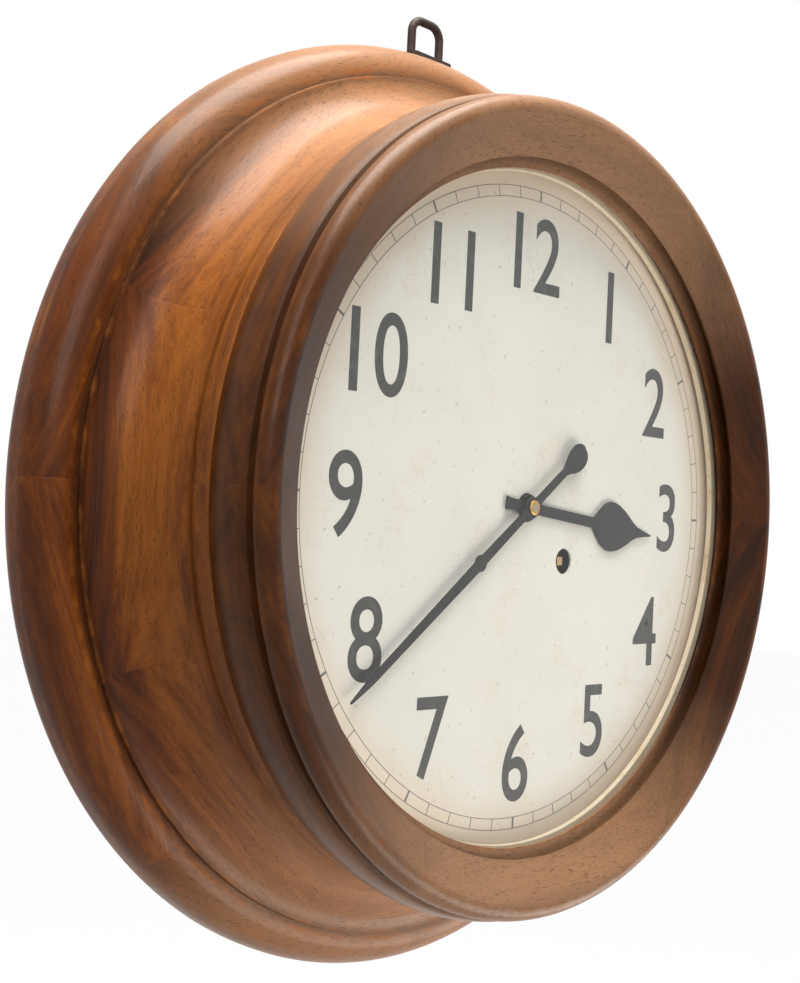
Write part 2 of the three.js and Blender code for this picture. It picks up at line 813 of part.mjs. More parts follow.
piece('centre_arbor', centreArbor(), steel());
piece(
  'centre_wheel',
  crossedWheel(
    centreAt, centreTeeth, centreModule, bearing(centreAt, thirdAt), centreArborRadius,
    [centreWheelBack, centreWheelFront], 4,
  ),
  brass(),
);

function bowSpring() {
  const half = bowSpringHalf;
  const corners = [[-half, -cannonOuter], [half, -cannonOuter], [half, cannonOuter], [-half, cannonOuter]];
  const leaf = outline(corners, [roundHole([0, 0], centreArborRadius + runningGap)]);
  return flat(leaf, frontPlateFront + seatGap, cannonBack - seatGap);
}

function cannonPinion() {
  const phase = meshPhase(bearing(minuteAt, centreAt), cannonLeaves);
  const bore = roundHole([0, 0], cannonInner);
  const leaves = flat(outline(leafOutline(cannonLeaves, cannonModule, phase), [bore]), cannonBack, cannonFront);
  const pipeOutline = outline(roundHole([0, 0], cannonOuter * Math.cos(Math.PI / smallSides)), [bore]);
  return joined(leaves, flat(pipeOutline, cannonBack, cannonPipeFront));
}

piece('bow_spring', bowSpring(), brass());
piece('cannon_pinion', cannonPinion(), steel());

function minuteWheel() {
  const wheel = wheelOutline(minuteTeeth, cannonModule, bearing(minuteAt, centreAt));
  const leaves = leafOutline(minuteLeaves, hourModule, meshPhase(bearing(centreAt, minuteAt), minuteLeaves));
  const bore = roundHole([0, 0], pivotRadius + runningGap + runningGap);
  const disc = flat(outline(wheel, [bore]), minuteWheelBack, minuteWheelFront);
  const pinion = flat(outline(leaves, [bore]), minuteWheelBack, hourWheelFront + pinionStandout);
  return place(joined(disc, pinion), minuteAt);
}

function minuteStud() {
  return place(stepped(frontPlateBack + seatGap, [
    [pivotRadius, frontPlateFront + seatGap],
    [studCollarRadius, minuteWheelBack - seatGap],
    [pivotRadius, hourWheelFront + pinionStandout + pinionStandout],
  ], smallSides), minuteAt);
}

function hourWheel() {
  const bore = roundHole([0, 0], hourInner);
  const teeth = wheelOutline(hourTeeth, hourModule, bearing(centreAt, minuteAt));
  const disc = flat(outline(teeth, [bore]), hourWheelBack, hourWheelFront);
  const pipe = outline(roundHole([0, 0], hourOuter * Math.cos(Math.PI / smallSides)), [bore]);
  return joined(disc, flat(pipe, cannonFront + seatGap, hourHandFront + seatGap));
}

piece('minute_wheel', minuteWheel(), brass());
piece('minute_wheel_stud', minuteStud(), steel());
piece('hour_wheel', hourWheel(), brass());

// Hands
// Half outlines as shares: along the hand of its length, across it of its hub radius.
const minuteBladeShares = [[0.07, 0.42], [0.29, 0.5], [0.31, 0.85], [0.34, 0.5], [0.9, 0.3], [1, 0.06]];
const minuteTailShares = [[0.12, 0.42], [0.62, 0.4], [0.72, 0.95], [0.86, 1.25], [1, 0.6]];
const hourBladeShares = [
  [0.08, 0.42], [0.5, 0.42], [0.54, 1.1], [0.62, 1.95], [0.7, 1.9], [0.79, 1.2], [0.87, 0.45], [1, 0.08],
];
const hourTailShares = [[0.1, 0.42], [0.17, 0.5]];

function hand(length, tail, tailLength, blade, hub, bore, angle, [back, front]) {
  const side = (sign, shares, reach) => shares.map(([along, across]) => [sign * across * hub, along * reach]);
  const eye = arc(0, 0, hub, hub, 60, -60, 4);
  const left = eye.map(([x, y]) => [-x, y]);
  const points = [
    ...side(1, blade, length).reverse(),
    ...eye,
    ...side(1, tail, -tailLength),
    ...side(-1, tail, -tailLength).reverse(),
    ...left.reverse(),
    ...side(-1, blade, length),
  ];
  const shape = outline(points, [roundHole([0, 0], bore)]);
  return flat(shape, back, front).rotateZ(-degrees(angle));
}

piece(
  'hour_hand',
  hand(
    hourHandLength, hourTailShares, hourHandLength, hourBladeShares, hourHubRadius, hourOuter + runningGap,
    hourHandAngle, [hourHandBack, hourHandFront],
  ),
  handBlack(),
);
piece(
  'minute_hand',
  hand(
    openingRadius - minuteHandMargin, minuteTailShares, minuteTailLength, minuteBladeShares, minuteHubRadius,
    cannonOuter + runningGap, minuteHandAngle, [minuteHandBack, minuteHandFront],
  ),
  handBlack(),
);
piece(
  'hand_nut',
  flat(
    outline(roundHole([0, 0], handNutRadius, 6), [roundHole([0, 0], centreArborRadius + runningGap)]),
    handNutBack, handNutFront,
  ),
  brass(),
);

// Great wheel, fusee and its click

const clickShares = [[-1, 0], [-0.7, 0.7], [0, 1], [2.2, 0.5], [2.7, -0.1], [0, -1], [-0.7, -0.7]];

// A click: an eye on a stud and a nose that lies just clear of the ratchet
function click(at, angle, [back, front], studBack) {
  const nose = clickNose / (clickEye * clickShares[4][0]);
  const corners = clickShares.map(([along, across]) => [
    along > 0 ? along * clickEye * nose : along * clickEye,
    across * clickEye,
  ]);
  const stud = stepped(studBack, [[pivotRadius, (back + front) / 2]], smallSides);
  const body = flat(outline(corners), back, front).rotateZ(angle);
  return place(joined(body, stud), at);
}

function ratchet(radius, teeth) {
  const rows = Array.from({ length: teeth }, (_, i) => {
    const angle = (fullTurn * i) / teeth;
    const next = (fullTurn * (i + 1)) / teeth;
    const root = radius - ratchetTooth;
    return [
      [root * Math.cos(angle), root * Math.sin(angle)],
      [radius * Math.cos(next), radius * Math.sin(next)],
    ];
  });
  return rows.flat();
}

function fusee() {
  const turns = Math.floor(fuseeLength / fuseePitch);
  const grooves = Array.from({ length: turns }, (_, i) => {
    const from = i / turns;
    const land = fuseeRadiusAt(from);
    const level = fuseeBack + fuseeLength * from;
    return [
      [land, level],
      [land, level + fuseePitch / 2],
      [land - fuseeGroove, level + (fuseePitch * 2) / 3],
    ];
  }).flat();
  const profile = [
    [0, backPlateBack + seatGap],
    [fuseeArborRadius / 2, backPlateBack + seatGap],
    [fuseeArborRadius / 2, backPlateFront + seatGap],
    [fuseeArborRadius, backPlateFront + seatGap],
    [fuseeArborRadius, fuseeBack],
    ...grooves,
    [fuseeSmall, fuseeFront],
    [fuseeSmall, fuseeFront + fuseeCap],
    [fuseeArborRadius, fuseeFront + fuseeCap],
    [fuseeArborRadius, frontPlateFront + seatGap],
    [0, frontPlateFront + seatGap],
  ];
  const half = windingSquare / 2;
  const square = block([-half, half], [-half, half], [frontPlateFront, frontPlateFront + windingSquareLength]);
  const wheel = flat(outline(ratchet(ratchetRadius, ratchetTeeth)), ratchetBack, fuseeBack + fuseePitch / 2);
  return place(joined(turned(profile, drumSides - smallSides), square, wheel), fuseeAt);
}

function greatWheel() {
  const teeth = wheelOutline(greatTeeth, greatModule, bearing(fuseeAt, centreAt));
  const stud = roundHole([ratchetRadius + clickNose, 0], pivotRadius + runningGap);
  const holes = [roundHole([0, 0], fuseeArborRadius + runningGap, drumSides), stud];
  return place(flat(outline(teeth, holes), greatBack, greatFront), fuseeAt);
}

piece('great_wheel', greatWheel(), brass());
piece('fusee', fusee(), brass());
piece(
  'fusee_click',
  click(
    [fuseeAt[0] + ratchetRadius + clickNose, fuseeAt[1]], fuseeClickAngle(),
    [ratchetBack, ratchetFront - seatGap], greatBack + seatGap,
  ),
  steel(),
);

// The nose lies along the tangent to the ratchet at the eye
function fuseeClickAngle() {
  return Math.PI / 2 + degrees(clickEye + clickEye);
}

// Barrel, its arbor and mainspring, and the chain to the fusee

function barrelDrum() {
  const inside = barrelRadius - barrelWall;
  const bore = barrelArborRadius + runningGap + runningGap;
  const profile = [
    [bore, barrelBack],
    [barrelRadius, barrelBack],
    [barrelRadius, barrelFront],
    [inside, barrelFront],
    [inside, barrelBack + barrelWall],
    [bore, barrelBack + barrelWall],
  ];
  return place(turned(profile, drumSides), barrelAt);
}

const barrelCapBack = barrelFront - barrelWall - seatGap;
const hubBack = barrelBack + barrelWall + seatGap;
const hubFront = barrelCapBack - seatGap;

function barrelCap() {
  const outer = barrelRadius - barrelWall - seatGap;
  const bore = barrelArborRadius + runningGap + runningGap;
  return place(tube(bore, outer, barrelCapBack, barrelFront - seatGap, drumSides), barrelAt);
}

function barrelArbor() {
  const ratchetLevel = frontPlateFront + seatGap;
  const arbor = stepped(backPlateBack + seatGap, [
    [barrelArborRadius, hubBack],
    [barrelHubRadius, hubFront],
    [barrelArborRadius, ratchetLevel + wheelThickness + tenonStandout],
  ], smallSides);
  const teeth = outline(ratchet(setupRatchetRadius, ratchetTeeth));
  return place(joined(arbor, flat(teeth, ratchetLevel, ratchetLevel + wheelThickness)), barrelAt);
}

function mainspring() {
  const inner = barrelHubRadius + springStrip;
  const outer = barrelRadius - barrelWall - springStrip - springStrip;
  const steps = springTurns * roundSides;
  const edge = (offset) => Array.from({ length: steps + 1 }, (_, i) => {
    const radius = inner + ((outer - inner) * i) / steps + offset;
    const angle = (fullTurn * i) / roundSides;
    return [radius * Math.cos(angle), radius * Math.sin(angle)];
  });
  const coil = outline([...edge(springStrip), ...edge(0).reverse()]);
  return place(flat(coil, hubBack, hubFront), barrelAt);
}

function fuseeChain() {
  const wrap = ([x, y], radius, from, to) => Array.from({ length: 7 }, (_, i) => {
    const angle = from + ((to - from) * i) / 6;
    return [x + radius * Math.cos(angle), y + radius * Math.sin(angle), chainLevel];
  });
  const points = [
    ...wrap(barrelAt, barrelWrap, chainNormal + Math.PI / 2, chainNormal),
    ...wrap(fuseeAt, fuseeWrap, chainNormal, chainNormal - Math.PI / 2),
  ];
  return bar(chainRadius, points, drumSides + smallSides);
}

piece('barrel', barrelDrum(), brass());
piece('barrel_cap', barrelCap(), brass());
piece('barrel_arbor', barrelArbor(), steel());
piece('mainspring', mainspring(), steel());
piece('fusee_chain', fuseeChain(), steel());
piece(
  'setup_click',
  click(
    setupClickAt, bearing(setupClickAt, [barrelAt[0], barrelAt[1] + setupRatchetRadius + clickEye + seatGap]),
    [frontPlateFront + seatGap, frontPlateFront + wheelThickness], frontPlateBack + seatGap,
  ),
  steel(),
);

// Third and escape arbors

piece(
  'third_arbor',
  arborWithPinion(
    thirdAt, thirdArborRadius, thirdLeaves, centreModule,
    [centreWheelBack - pinionStandout, centreWheelFront + pinionStandout], bearing(centreAt, thirdAt),
  ),
  steel(),
);
piece(
  'third_wheel',
  crossedWheel(
    thirdAt, thirdTeeth, thirdModule, bearing(thirdAt, escapeAt), thirdArborRadius,
    [thirdWheelBack, thirdWheelFront], 4,
  ),
  brass(),
);
piece(
  'escape_arbor',
  arborWithPinion(
    escapeAt, escapeArborRadius, escapeLeaves, thirdModule,
    [thirdWheelBack - pinionStandout, thirdWheelFront + pinionStandout], bearing(thirdAt, escapeAt),
  ),
  steel(),
);

function escapeWheel() {
  const corners = Array.from({ length: escapeTeeth }, (_, i) => escapeToothShares.map(([rise, share]) => {
    const radius = escapeRadius - escapeToothDepth * (1 - rise);
    const angle = (fullTurn * (i + share)) / escapeTeeth;
    return [radius * Math.cos(angle), radius * Math.sin(angle)];
  })).flat();
  const holes = [
    roundHole([0, 0], escapeArborRadius + runningGap),
    ...crossings(escapeRadius - escapeToothDepth, 4),
  ];
  return place(flat(outline(corners, holes), escapeWheelBack, escapeWheelFront), escapeAt);
}

piece('escape_wheel', escapeWheel(), brass());

// Anchor, crutch and back cock

const suspensionLevel = backPlateBack - pendulumRoom / 2 - cockSheet - seatGap;
const tongueBack = suspensionLevel + suspensionWidth / 2 + cockSheet;
const tongueFront = tongueBack + cockSheet;
const crutchBack = tongueFront + crutchGap;
const crutchFront = crutchBack + crutchSheet;
const anchorBack = (escapeWheelBack + escapeWheelFront - anchorThickness) / 2;
const crutchEye = crutchSheet + crutchSheet;
const cockWeb = anchorAt[1] + crutchEye + cockClearance;
const cockTop = cockWeb + cockHalfWidth;

// Half outline: across as a share of half the pallet span, down as a share of the pallet drop
const anchorShares = [[0.3, 0.2], [1.06, -0.5], [1.17, -0.94], [1, -1], [0.84, -0.72], [0.24, -0.26], [0, -0.32]];

function anchor() {
  const reach = (escapeRadius + palletClearance) * Math.SQRT1_2;
  const drop = anchorRise - reach;
  const right = anchorShares.map(([across, down]) => [across * reach, down * drop]);
  const left = right.slice(0, -1).map(([x, y]) => [-x, y]).reverse();
  const shape = outline([...right, ...left], [roundHole([0, 0], anchorArborRadius + runningGap)]);
  return place(flat(shape, anchorBack, anchorBack + anchorThickness), anchorAt);
}

function anchorArbor() {
  return place(stepped(tongueBack + seatGap, [
    [pivotRadius, tongueFront + seatGap],
    [anchorArborRadius, frontPlateBack - seatGap],
    [pivotRadius, frontPlateFront - seatGap],
  ], smallSides), anchorAt);
}

function crutch() {
  const half = rodRadius + runningGap + seatGap + crutchFork;
  const inner = half - crutchFork;
  const foot = -crutchLength;
  const eye = flat(
    outline(roundHole([0, 0], crutchEye), [roundHole([0, 0], anchorArborRadius + runningGap)]),
    crutchBack, crutchFront,
  );
  const arm = block([-crutchSheet, crutchSheet], [foot, seatGap - crutchEye], [crutchBack, crutchFront]);
  const yoke = block([-half, half], [foot - crutchSheet, foot + crutchSheet], [crutchBack, crutchFront]);
  const prong = (from, to) => block(
    [from, to], [foot - crutchSheet, foot + crutchSheet], [suspensionLevel - rodRadius - crutchFork, crutchFront],
  );
  return place(joined(eye, arm, yoke, prong(-half, -inner), prong(inner, half)), anchorAt);
}

function backCock() {
  const chopBottom = anchorAt[1] + cockHalfWidth / 2;
  const chopBack = suspensionLevel - suspensionWidth / 2 - seatGap - seatGap;
  const chopFront = suspensionLevel + suspensionWidth / 2 + seatGap + seatGap;
  const front = backPlateBack - seatGap;
  const width = [-cockHalfWidth, cockHalfWidth];
  const slotHalf = suspensionStrip + chopCheek;
  const body = joined(
    block([-cockFootHalf, cockFootHalf], [cockWeb - cockFlange, cockTop + cockFlange], [front - cockSheet, front]),
    block(width, [cockWeb, cockTop], [chopBack, front]),
    block(width, [anchorAt[1] - cockHalfWidth, cockTop], [tongueBack, tongueFront]),
    block(width, [chopBottom, cockTop], [chopBack, chopFront]),
  );
  return cut(
    body,
    block([-slotHalf, slotHalf], [chopBottom - overrun, cockTop + overrun], [chopBack - overrun, chopFront + seatGap]),
    place(stepped(tongueBack - overrun, [[
      (pivotRadius + runningGap) / Math.cos(Math.PI / smallSides), tongueFront + overrun,
    ]], smallSides), anchorAt),
  );
}

function suspensionBlock() {
  const depth = [suspensionLevel - suspensionWidth / 2, suspensionLevel + suspensionWidth / 2];
  const half = suspensionStrip + chopCheek - seatGap;
  const head = cockHalfWidth - chopCheek;
  return joined(
    block([-half, half], [anchorAt[1] + seatGap, cockTop + chopHead], depth),
    block([-head, head], [cockTop + seatGap, cockTop + chopHead], depth),
  );
}

piece('anchor_arbor', anchorArbor(), steel());
piece('anchor', anchor(), steel());
piece('crutch', crutch(), steel());
piece('back_cock', backCock(), brass());
piece('suspension_block', suspensionBlock(), brass());

// Pendulum

const rodEnd = pendulumClearance - drumRadius;
const bobAt = rodEnd + rodTail + ratingNutHeight + bobRadius;
const springBottom = anchorAt[1] - suspensionLength;

function suspensionSpring() {
  return block(
    [-suspensionStrip / 2, suspensionStrip / 2],
    [springBottom, anchorAt[1]],
    [suspensionLevel - suspensionWidth / 2, suspensionLevel + suspensionWidth / 2],
  );
}

function pendulumRod() {
  const topBlock = block(
    [-cockSheet, cockSheet],
    [springBottom - cockHalfWidth, springBottom - seatGap],
    [suspensionLevel - suspensionWidth / 2, suspensionLevel + suspensionWidth / 2],
  );
  return joined(topBlock, upright(rodRadius, [rodEnd, springBottom - rodRadius], suspensionLevel, smallSides));
}

function pendulumBob() {
  const half = bobThickness / 2;
  const lens = turned([[0, -half], ...arc(0, 0, bobRadius, half, -60, 60, 4), [0, half]], drumSides - smallSides / 2);
  const bore = upright(rodRadius + seatGap, [-bobRadius - overrun, bobRadius + overrun], 0, smallSides);
  return cut(lens, bore).translate(0, bobAt, suspensionLevel);
}

function ratingNut() {
  const top = bobAt - bobRadius - seatGap;
  const nut = upright(ratingNutRadius, [top - ratingNutHeight, top], suspensionLevel, roundSides);
  return cut(nut, upright(rodRadius + runningGap + runningGap, [top - bobRadius, top + overrun], suspensionLevel, smallSides));
}

piece('suspension_spring', suspensionSpring(), steel());
piece('pendulum_rod', pendulumRod(), steel());
piece('pendulum_bob', pendulumBob(), lead());
piece('rating_nut', ratingNut(), brass());

clock.rotation.x = Math.PI / 2;

export default clock;
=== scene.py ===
"""A round gallery wall clock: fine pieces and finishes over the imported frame.

Sizes are written in millimetres as the maker gives them: a radius from the hand arbor, and a level,
which is the distance from the wall towards the front. On the stage x points right, -y to the front
and z up, in metres.
"""

import logging
import math
from dataclasses import dataclass, field
from enum import Enum
from functools import reduce
from typing import ClassVar, Iterable, Sequence

import bmesh
import bpy
from bmesh.types import BMFace, BMVert
from mathutils import Matrix, Vector


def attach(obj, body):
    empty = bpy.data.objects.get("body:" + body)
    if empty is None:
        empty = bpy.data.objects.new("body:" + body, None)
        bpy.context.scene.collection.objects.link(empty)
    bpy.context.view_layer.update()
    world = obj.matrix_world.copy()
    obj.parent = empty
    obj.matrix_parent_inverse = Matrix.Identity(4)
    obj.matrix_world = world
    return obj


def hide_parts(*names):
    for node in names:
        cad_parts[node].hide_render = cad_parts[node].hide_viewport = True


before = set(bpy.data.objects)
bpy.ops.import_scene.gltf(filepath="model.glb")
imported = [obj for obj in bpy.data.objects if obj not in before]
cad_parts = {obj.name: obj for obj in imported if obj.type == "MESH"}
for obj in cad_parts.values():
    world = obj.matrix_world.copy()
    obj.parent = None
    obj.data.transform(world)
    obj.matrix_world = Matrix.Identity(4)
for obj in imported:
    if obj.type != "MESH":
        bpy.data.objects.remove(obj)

Pair = tuple[float, float]
Triple = tuple[float, float, float]
Colour = tuple[float, float, float, float]
Mesh = bmesh.types.BMesh

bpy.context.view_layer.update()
LOG = logging.getLogger("gallery_clock")
MM = 0.001
SHARP = math.radians(40.0)
AXLE = Vector((0.0, 1.0, 0.0))
UP = Vector((0.0, 0.0, 1.0))
FORWARD = Vector((0.0, -1.0, 0.0))
OUTWARD = Vector((1.0, 0.0, 0.0))
STOOD_UP = Matrix.Rotation(math.radians(90), 4, "X")


def rgb(*levels: int) -> Colour:
    """Turns red, green and blue as the eye reads them, 0 to 255, into the light values of a shader."""
    shares = (level / 255 for level in levels)
    return *(s / 12.92 if s <= 0.04045 else ((s + 0.055) / 1.055) ** 2.4 for s in shares), 1.0


def shaded(tint: Colour, share: float) -> Colour:
    """Makes a colour darker or lighter, never past full light."""
    return *(min(1.0, value * share) for value in tint[:3]), 1.0


def at(radius: float, clock_angle: float, level: float) -> Vector:
    """Finds the point, in metres, at a radius and a level in mm and at degrees clockwise from twelve."""
    turn = math.radians(clock_angle)
    return Vector((radius * math.sin(turn), -level, radius * math.cos(turn))) * MM


# ---- Shading ----


@dataclass(frozen=True)
class Wire:
    """A node's output, with its recipe, that Python's operators carry on with Math nodes."""

    recipe: "Recipe"
    socket: bpy.types.NodeSocket

    def __add__(self, other: object) -> "Wire":
        """Adds."""
        return self.recipe.math("ADD", self, other)

    __radd__ = __add__

    def __sub__(self, other: object) -> "Wire":
        """Subtracts."""
        return self.recipe.math("SUBTRACT", self, other)

    def __rsub__(self, other: object) -> "Wire":
        """Subtracts from the left."""
        return self.recipe.math("SUBTRACT", other, self)

    def __mul__(self, other: object) -> "Wire":
        """Multiplies."""
        return self.recipe.math("MULTIPLY", self, other)

    __rmul__ = __mul__

    def __truediv__(self, other: object) -> "Wire":
        """Divides."""
        return self.recipe.math("DIVIDE", self, other)

    def __pow__(self, other: object) -> "Wire":
        """Raises to a power."""
        return self.recipe.math("POWER", self, other)


@dataclass(frozen=True)
class Grain:
    """Noise that is drawn out along one way of the wood."""

    rate: Triple
    detail: float
    rough: float
    bend: float = 0.0


class Recipe:
    """The nodes of a material or a world, written as expressions."""

    def __init__(self, owner: bpy.types.ID) -> None:
        """Empties the owner's nodes.

        Args:
            owner: The material or world.
        """
        owner.use_nodes = True
        self.tree = owner.node_tree
        self.tree.nodes.clear()

    def node(
        self, kind: str, settings: dict | None = None, inputs: dict | None = None, output: int | str = 0
    ) -> Wire:
        """Adds a node.

        Args:
            kind: The node's type, without ShaderNode in front.
            settings: Properties, set before the sockets; "stops" fills a ramp.
            inputs: Values or wires by socket name or number.
            output: Which output the caller goes on with.

        Returns:
            The chosen output.
        """
        made = self.tree.nodes.new("ShaderNode" + kind)
        for key, value in (settings or {}).items():
            if key == "stops":
                ramp = made.color_ramp
                while len(ramp.elements) < len(value):
                    ramp.elements.new(0.5)
                for element, (place, tint) in zip(ramp.elements, value):
                    element.position = place
                    element.color = tint
            else:
                setattr(made, key, value)
        for key, value in (inputs or {}).items():
            if isinstance(value, Wire):
                self.tree.links.new(value.socket, made.inputs[key])
            else:
                made.inputs[key].default_value = value
        return Wire(self, made.outputs[output])

    def place(self) -> Wire:
        """Gives the point on the object, in metres."""
        return self.node("TexCoord", output="Object")

    def parts(self, vector: Wire) -> tuple[Wire, Wire, Wire]:
        """Splits a vector into its three numbers."""
        node = self.node("SeparateXYZ", inputs={0: vector}).socket.node
        return tuple(Wire(self, output) for output in node.outputs)

    def vector(self, x: object, y: object, z: object) -> Wire:
        """Joins three numbers into a vector."""
        return self.node("CombineXYZ", inputs={0: x, 1: y, 2: z})

    def math(self, operation: str, first: object, second: object = 0.0) -> Wire:
        """Adds one Math node."""
        return self.node("Math", {"operation": operation}, {0: first, 1: second})

    def length(self, first: Wire, second: Wire) -> Wire:
        """Gives the length of two numbers at right angles."""
        return self.math("SQRT", first * first + second * second)

    def most(self, values: Iterable[Wire]) -> Wire:
        """Keeps the largest of several numbers."""
        return reduce(lambda first, second: self.math("MAXIMUM", first, second), values)

    def stretched(self, vector: Wire, by: Triple) -> Wire:
        """Scales a vector axis by axis."""
        return self.node("VectorMath", {"operation": "MULTIPLY"}, {0: vector, 1: by})

    def noise(
        self, vector: Wire, scale: float = 1.0, detail: float = 2.0, rough: float = 0.5, bend: float = 0.0
    ) -> Wire:
        """Gives cloudy noise from 0 to 1."""
        inputs = {"Vector": vector, "Scale": scale, "Detail": detail, "Roughness": rough, "Distortion": bend}
        return self.node("TexNoise", inputs=inputs)

    def grain(self, kind: Grain, axes: Wire, shift: Wire) -> Wire:
        """Gives a wood's grain on a block's own axes, moved on by a shift of that block."""
        moved = self.node("VectorMath", {"operation": "ADD"}, {0: self.stretched(axes, kind.rate), 1: shift})
        return self.noise(moved, 1.0, kind.detail, kind.rough, kind.bend)

    def rise(self, value: Wire, low: float, high: float) -> Wire:
        """Goes smoothly from 0 at low to 1 at high."""
        inputs = {0: value, 1: low, 2: high, 3: 0.0, 4: 1.0}
        return self.node("MapRange", {"interpolation_type": "SMOOTHSTEP", "clamp": True}, inputs)

    def ramp(self, value: Wire, stops: Sequence[tuple[float, Colour]]) -> Wire:
        """Turns a number into a colour."""
        return self.node("ValToRGB", {"stops": stops}, {0: value})

    def blend(self, share: Wire, under: object, over: object) -> Wire:
        """Mixes two colours."""
        settings = {"data_type": "RGBA", "blend_type": "MIX", "clamp_factor": True}
        return self.node("Mix", settings, {0: share, 6: under, 7: over}, output=2)

    def bump(self, height: Wire, depth: float, under: Wire | None = None) -> Wire:
        """Raises the surface by a height of 0 to 1 times a depth in mm, over another bump."""
        inputs = {"Height": height, "Distance": depth * MM, "Strength": 1.0}
        return self.node("Bump", inputs=inputs if under is None else inputs | {"Normal": under})

    def principled(self, **sockets: object) -> None:
        """Closes the tree with a Principled shader; an underscore stands for a space in a name."""
        named = {key.replace("_", " "): value for key, value in sockets.items()}
        self.close(self.node("BsdfPrincipled", inputs=named))

    def close(self, shader: Wire, owner: str = "Material") -> None:
        """Joins a shader to the output of a material or a world."""
        end = self.tree.nodes.new("ShaderNodeOutput" + owner)
        self.tree.links.new(shader.socket, end.inputs["Surface"])


@dataclass(frozen=True)
class Finish:
    """Something a piece is covered with. Each finish makes its material once."""

    name: str
    made: ClassVar[dict[str, bpy.types.Material]] = {}

    def material(self) -> bpy.types.Material:
        """Returns the material, built at its first use.

        Returns:
            The material.
        """
        if self.name not in Finish.made:
            Finish.made[self.name] = bpy.data.materials.new(self.name)
            self.build(Recipe(Finish.made[self.name]))
        return Finish.made[self.name]

    def build(self, r: Recipe) -> None:
        """Writes the nodes of the finish."""
        raise NotImplementedError


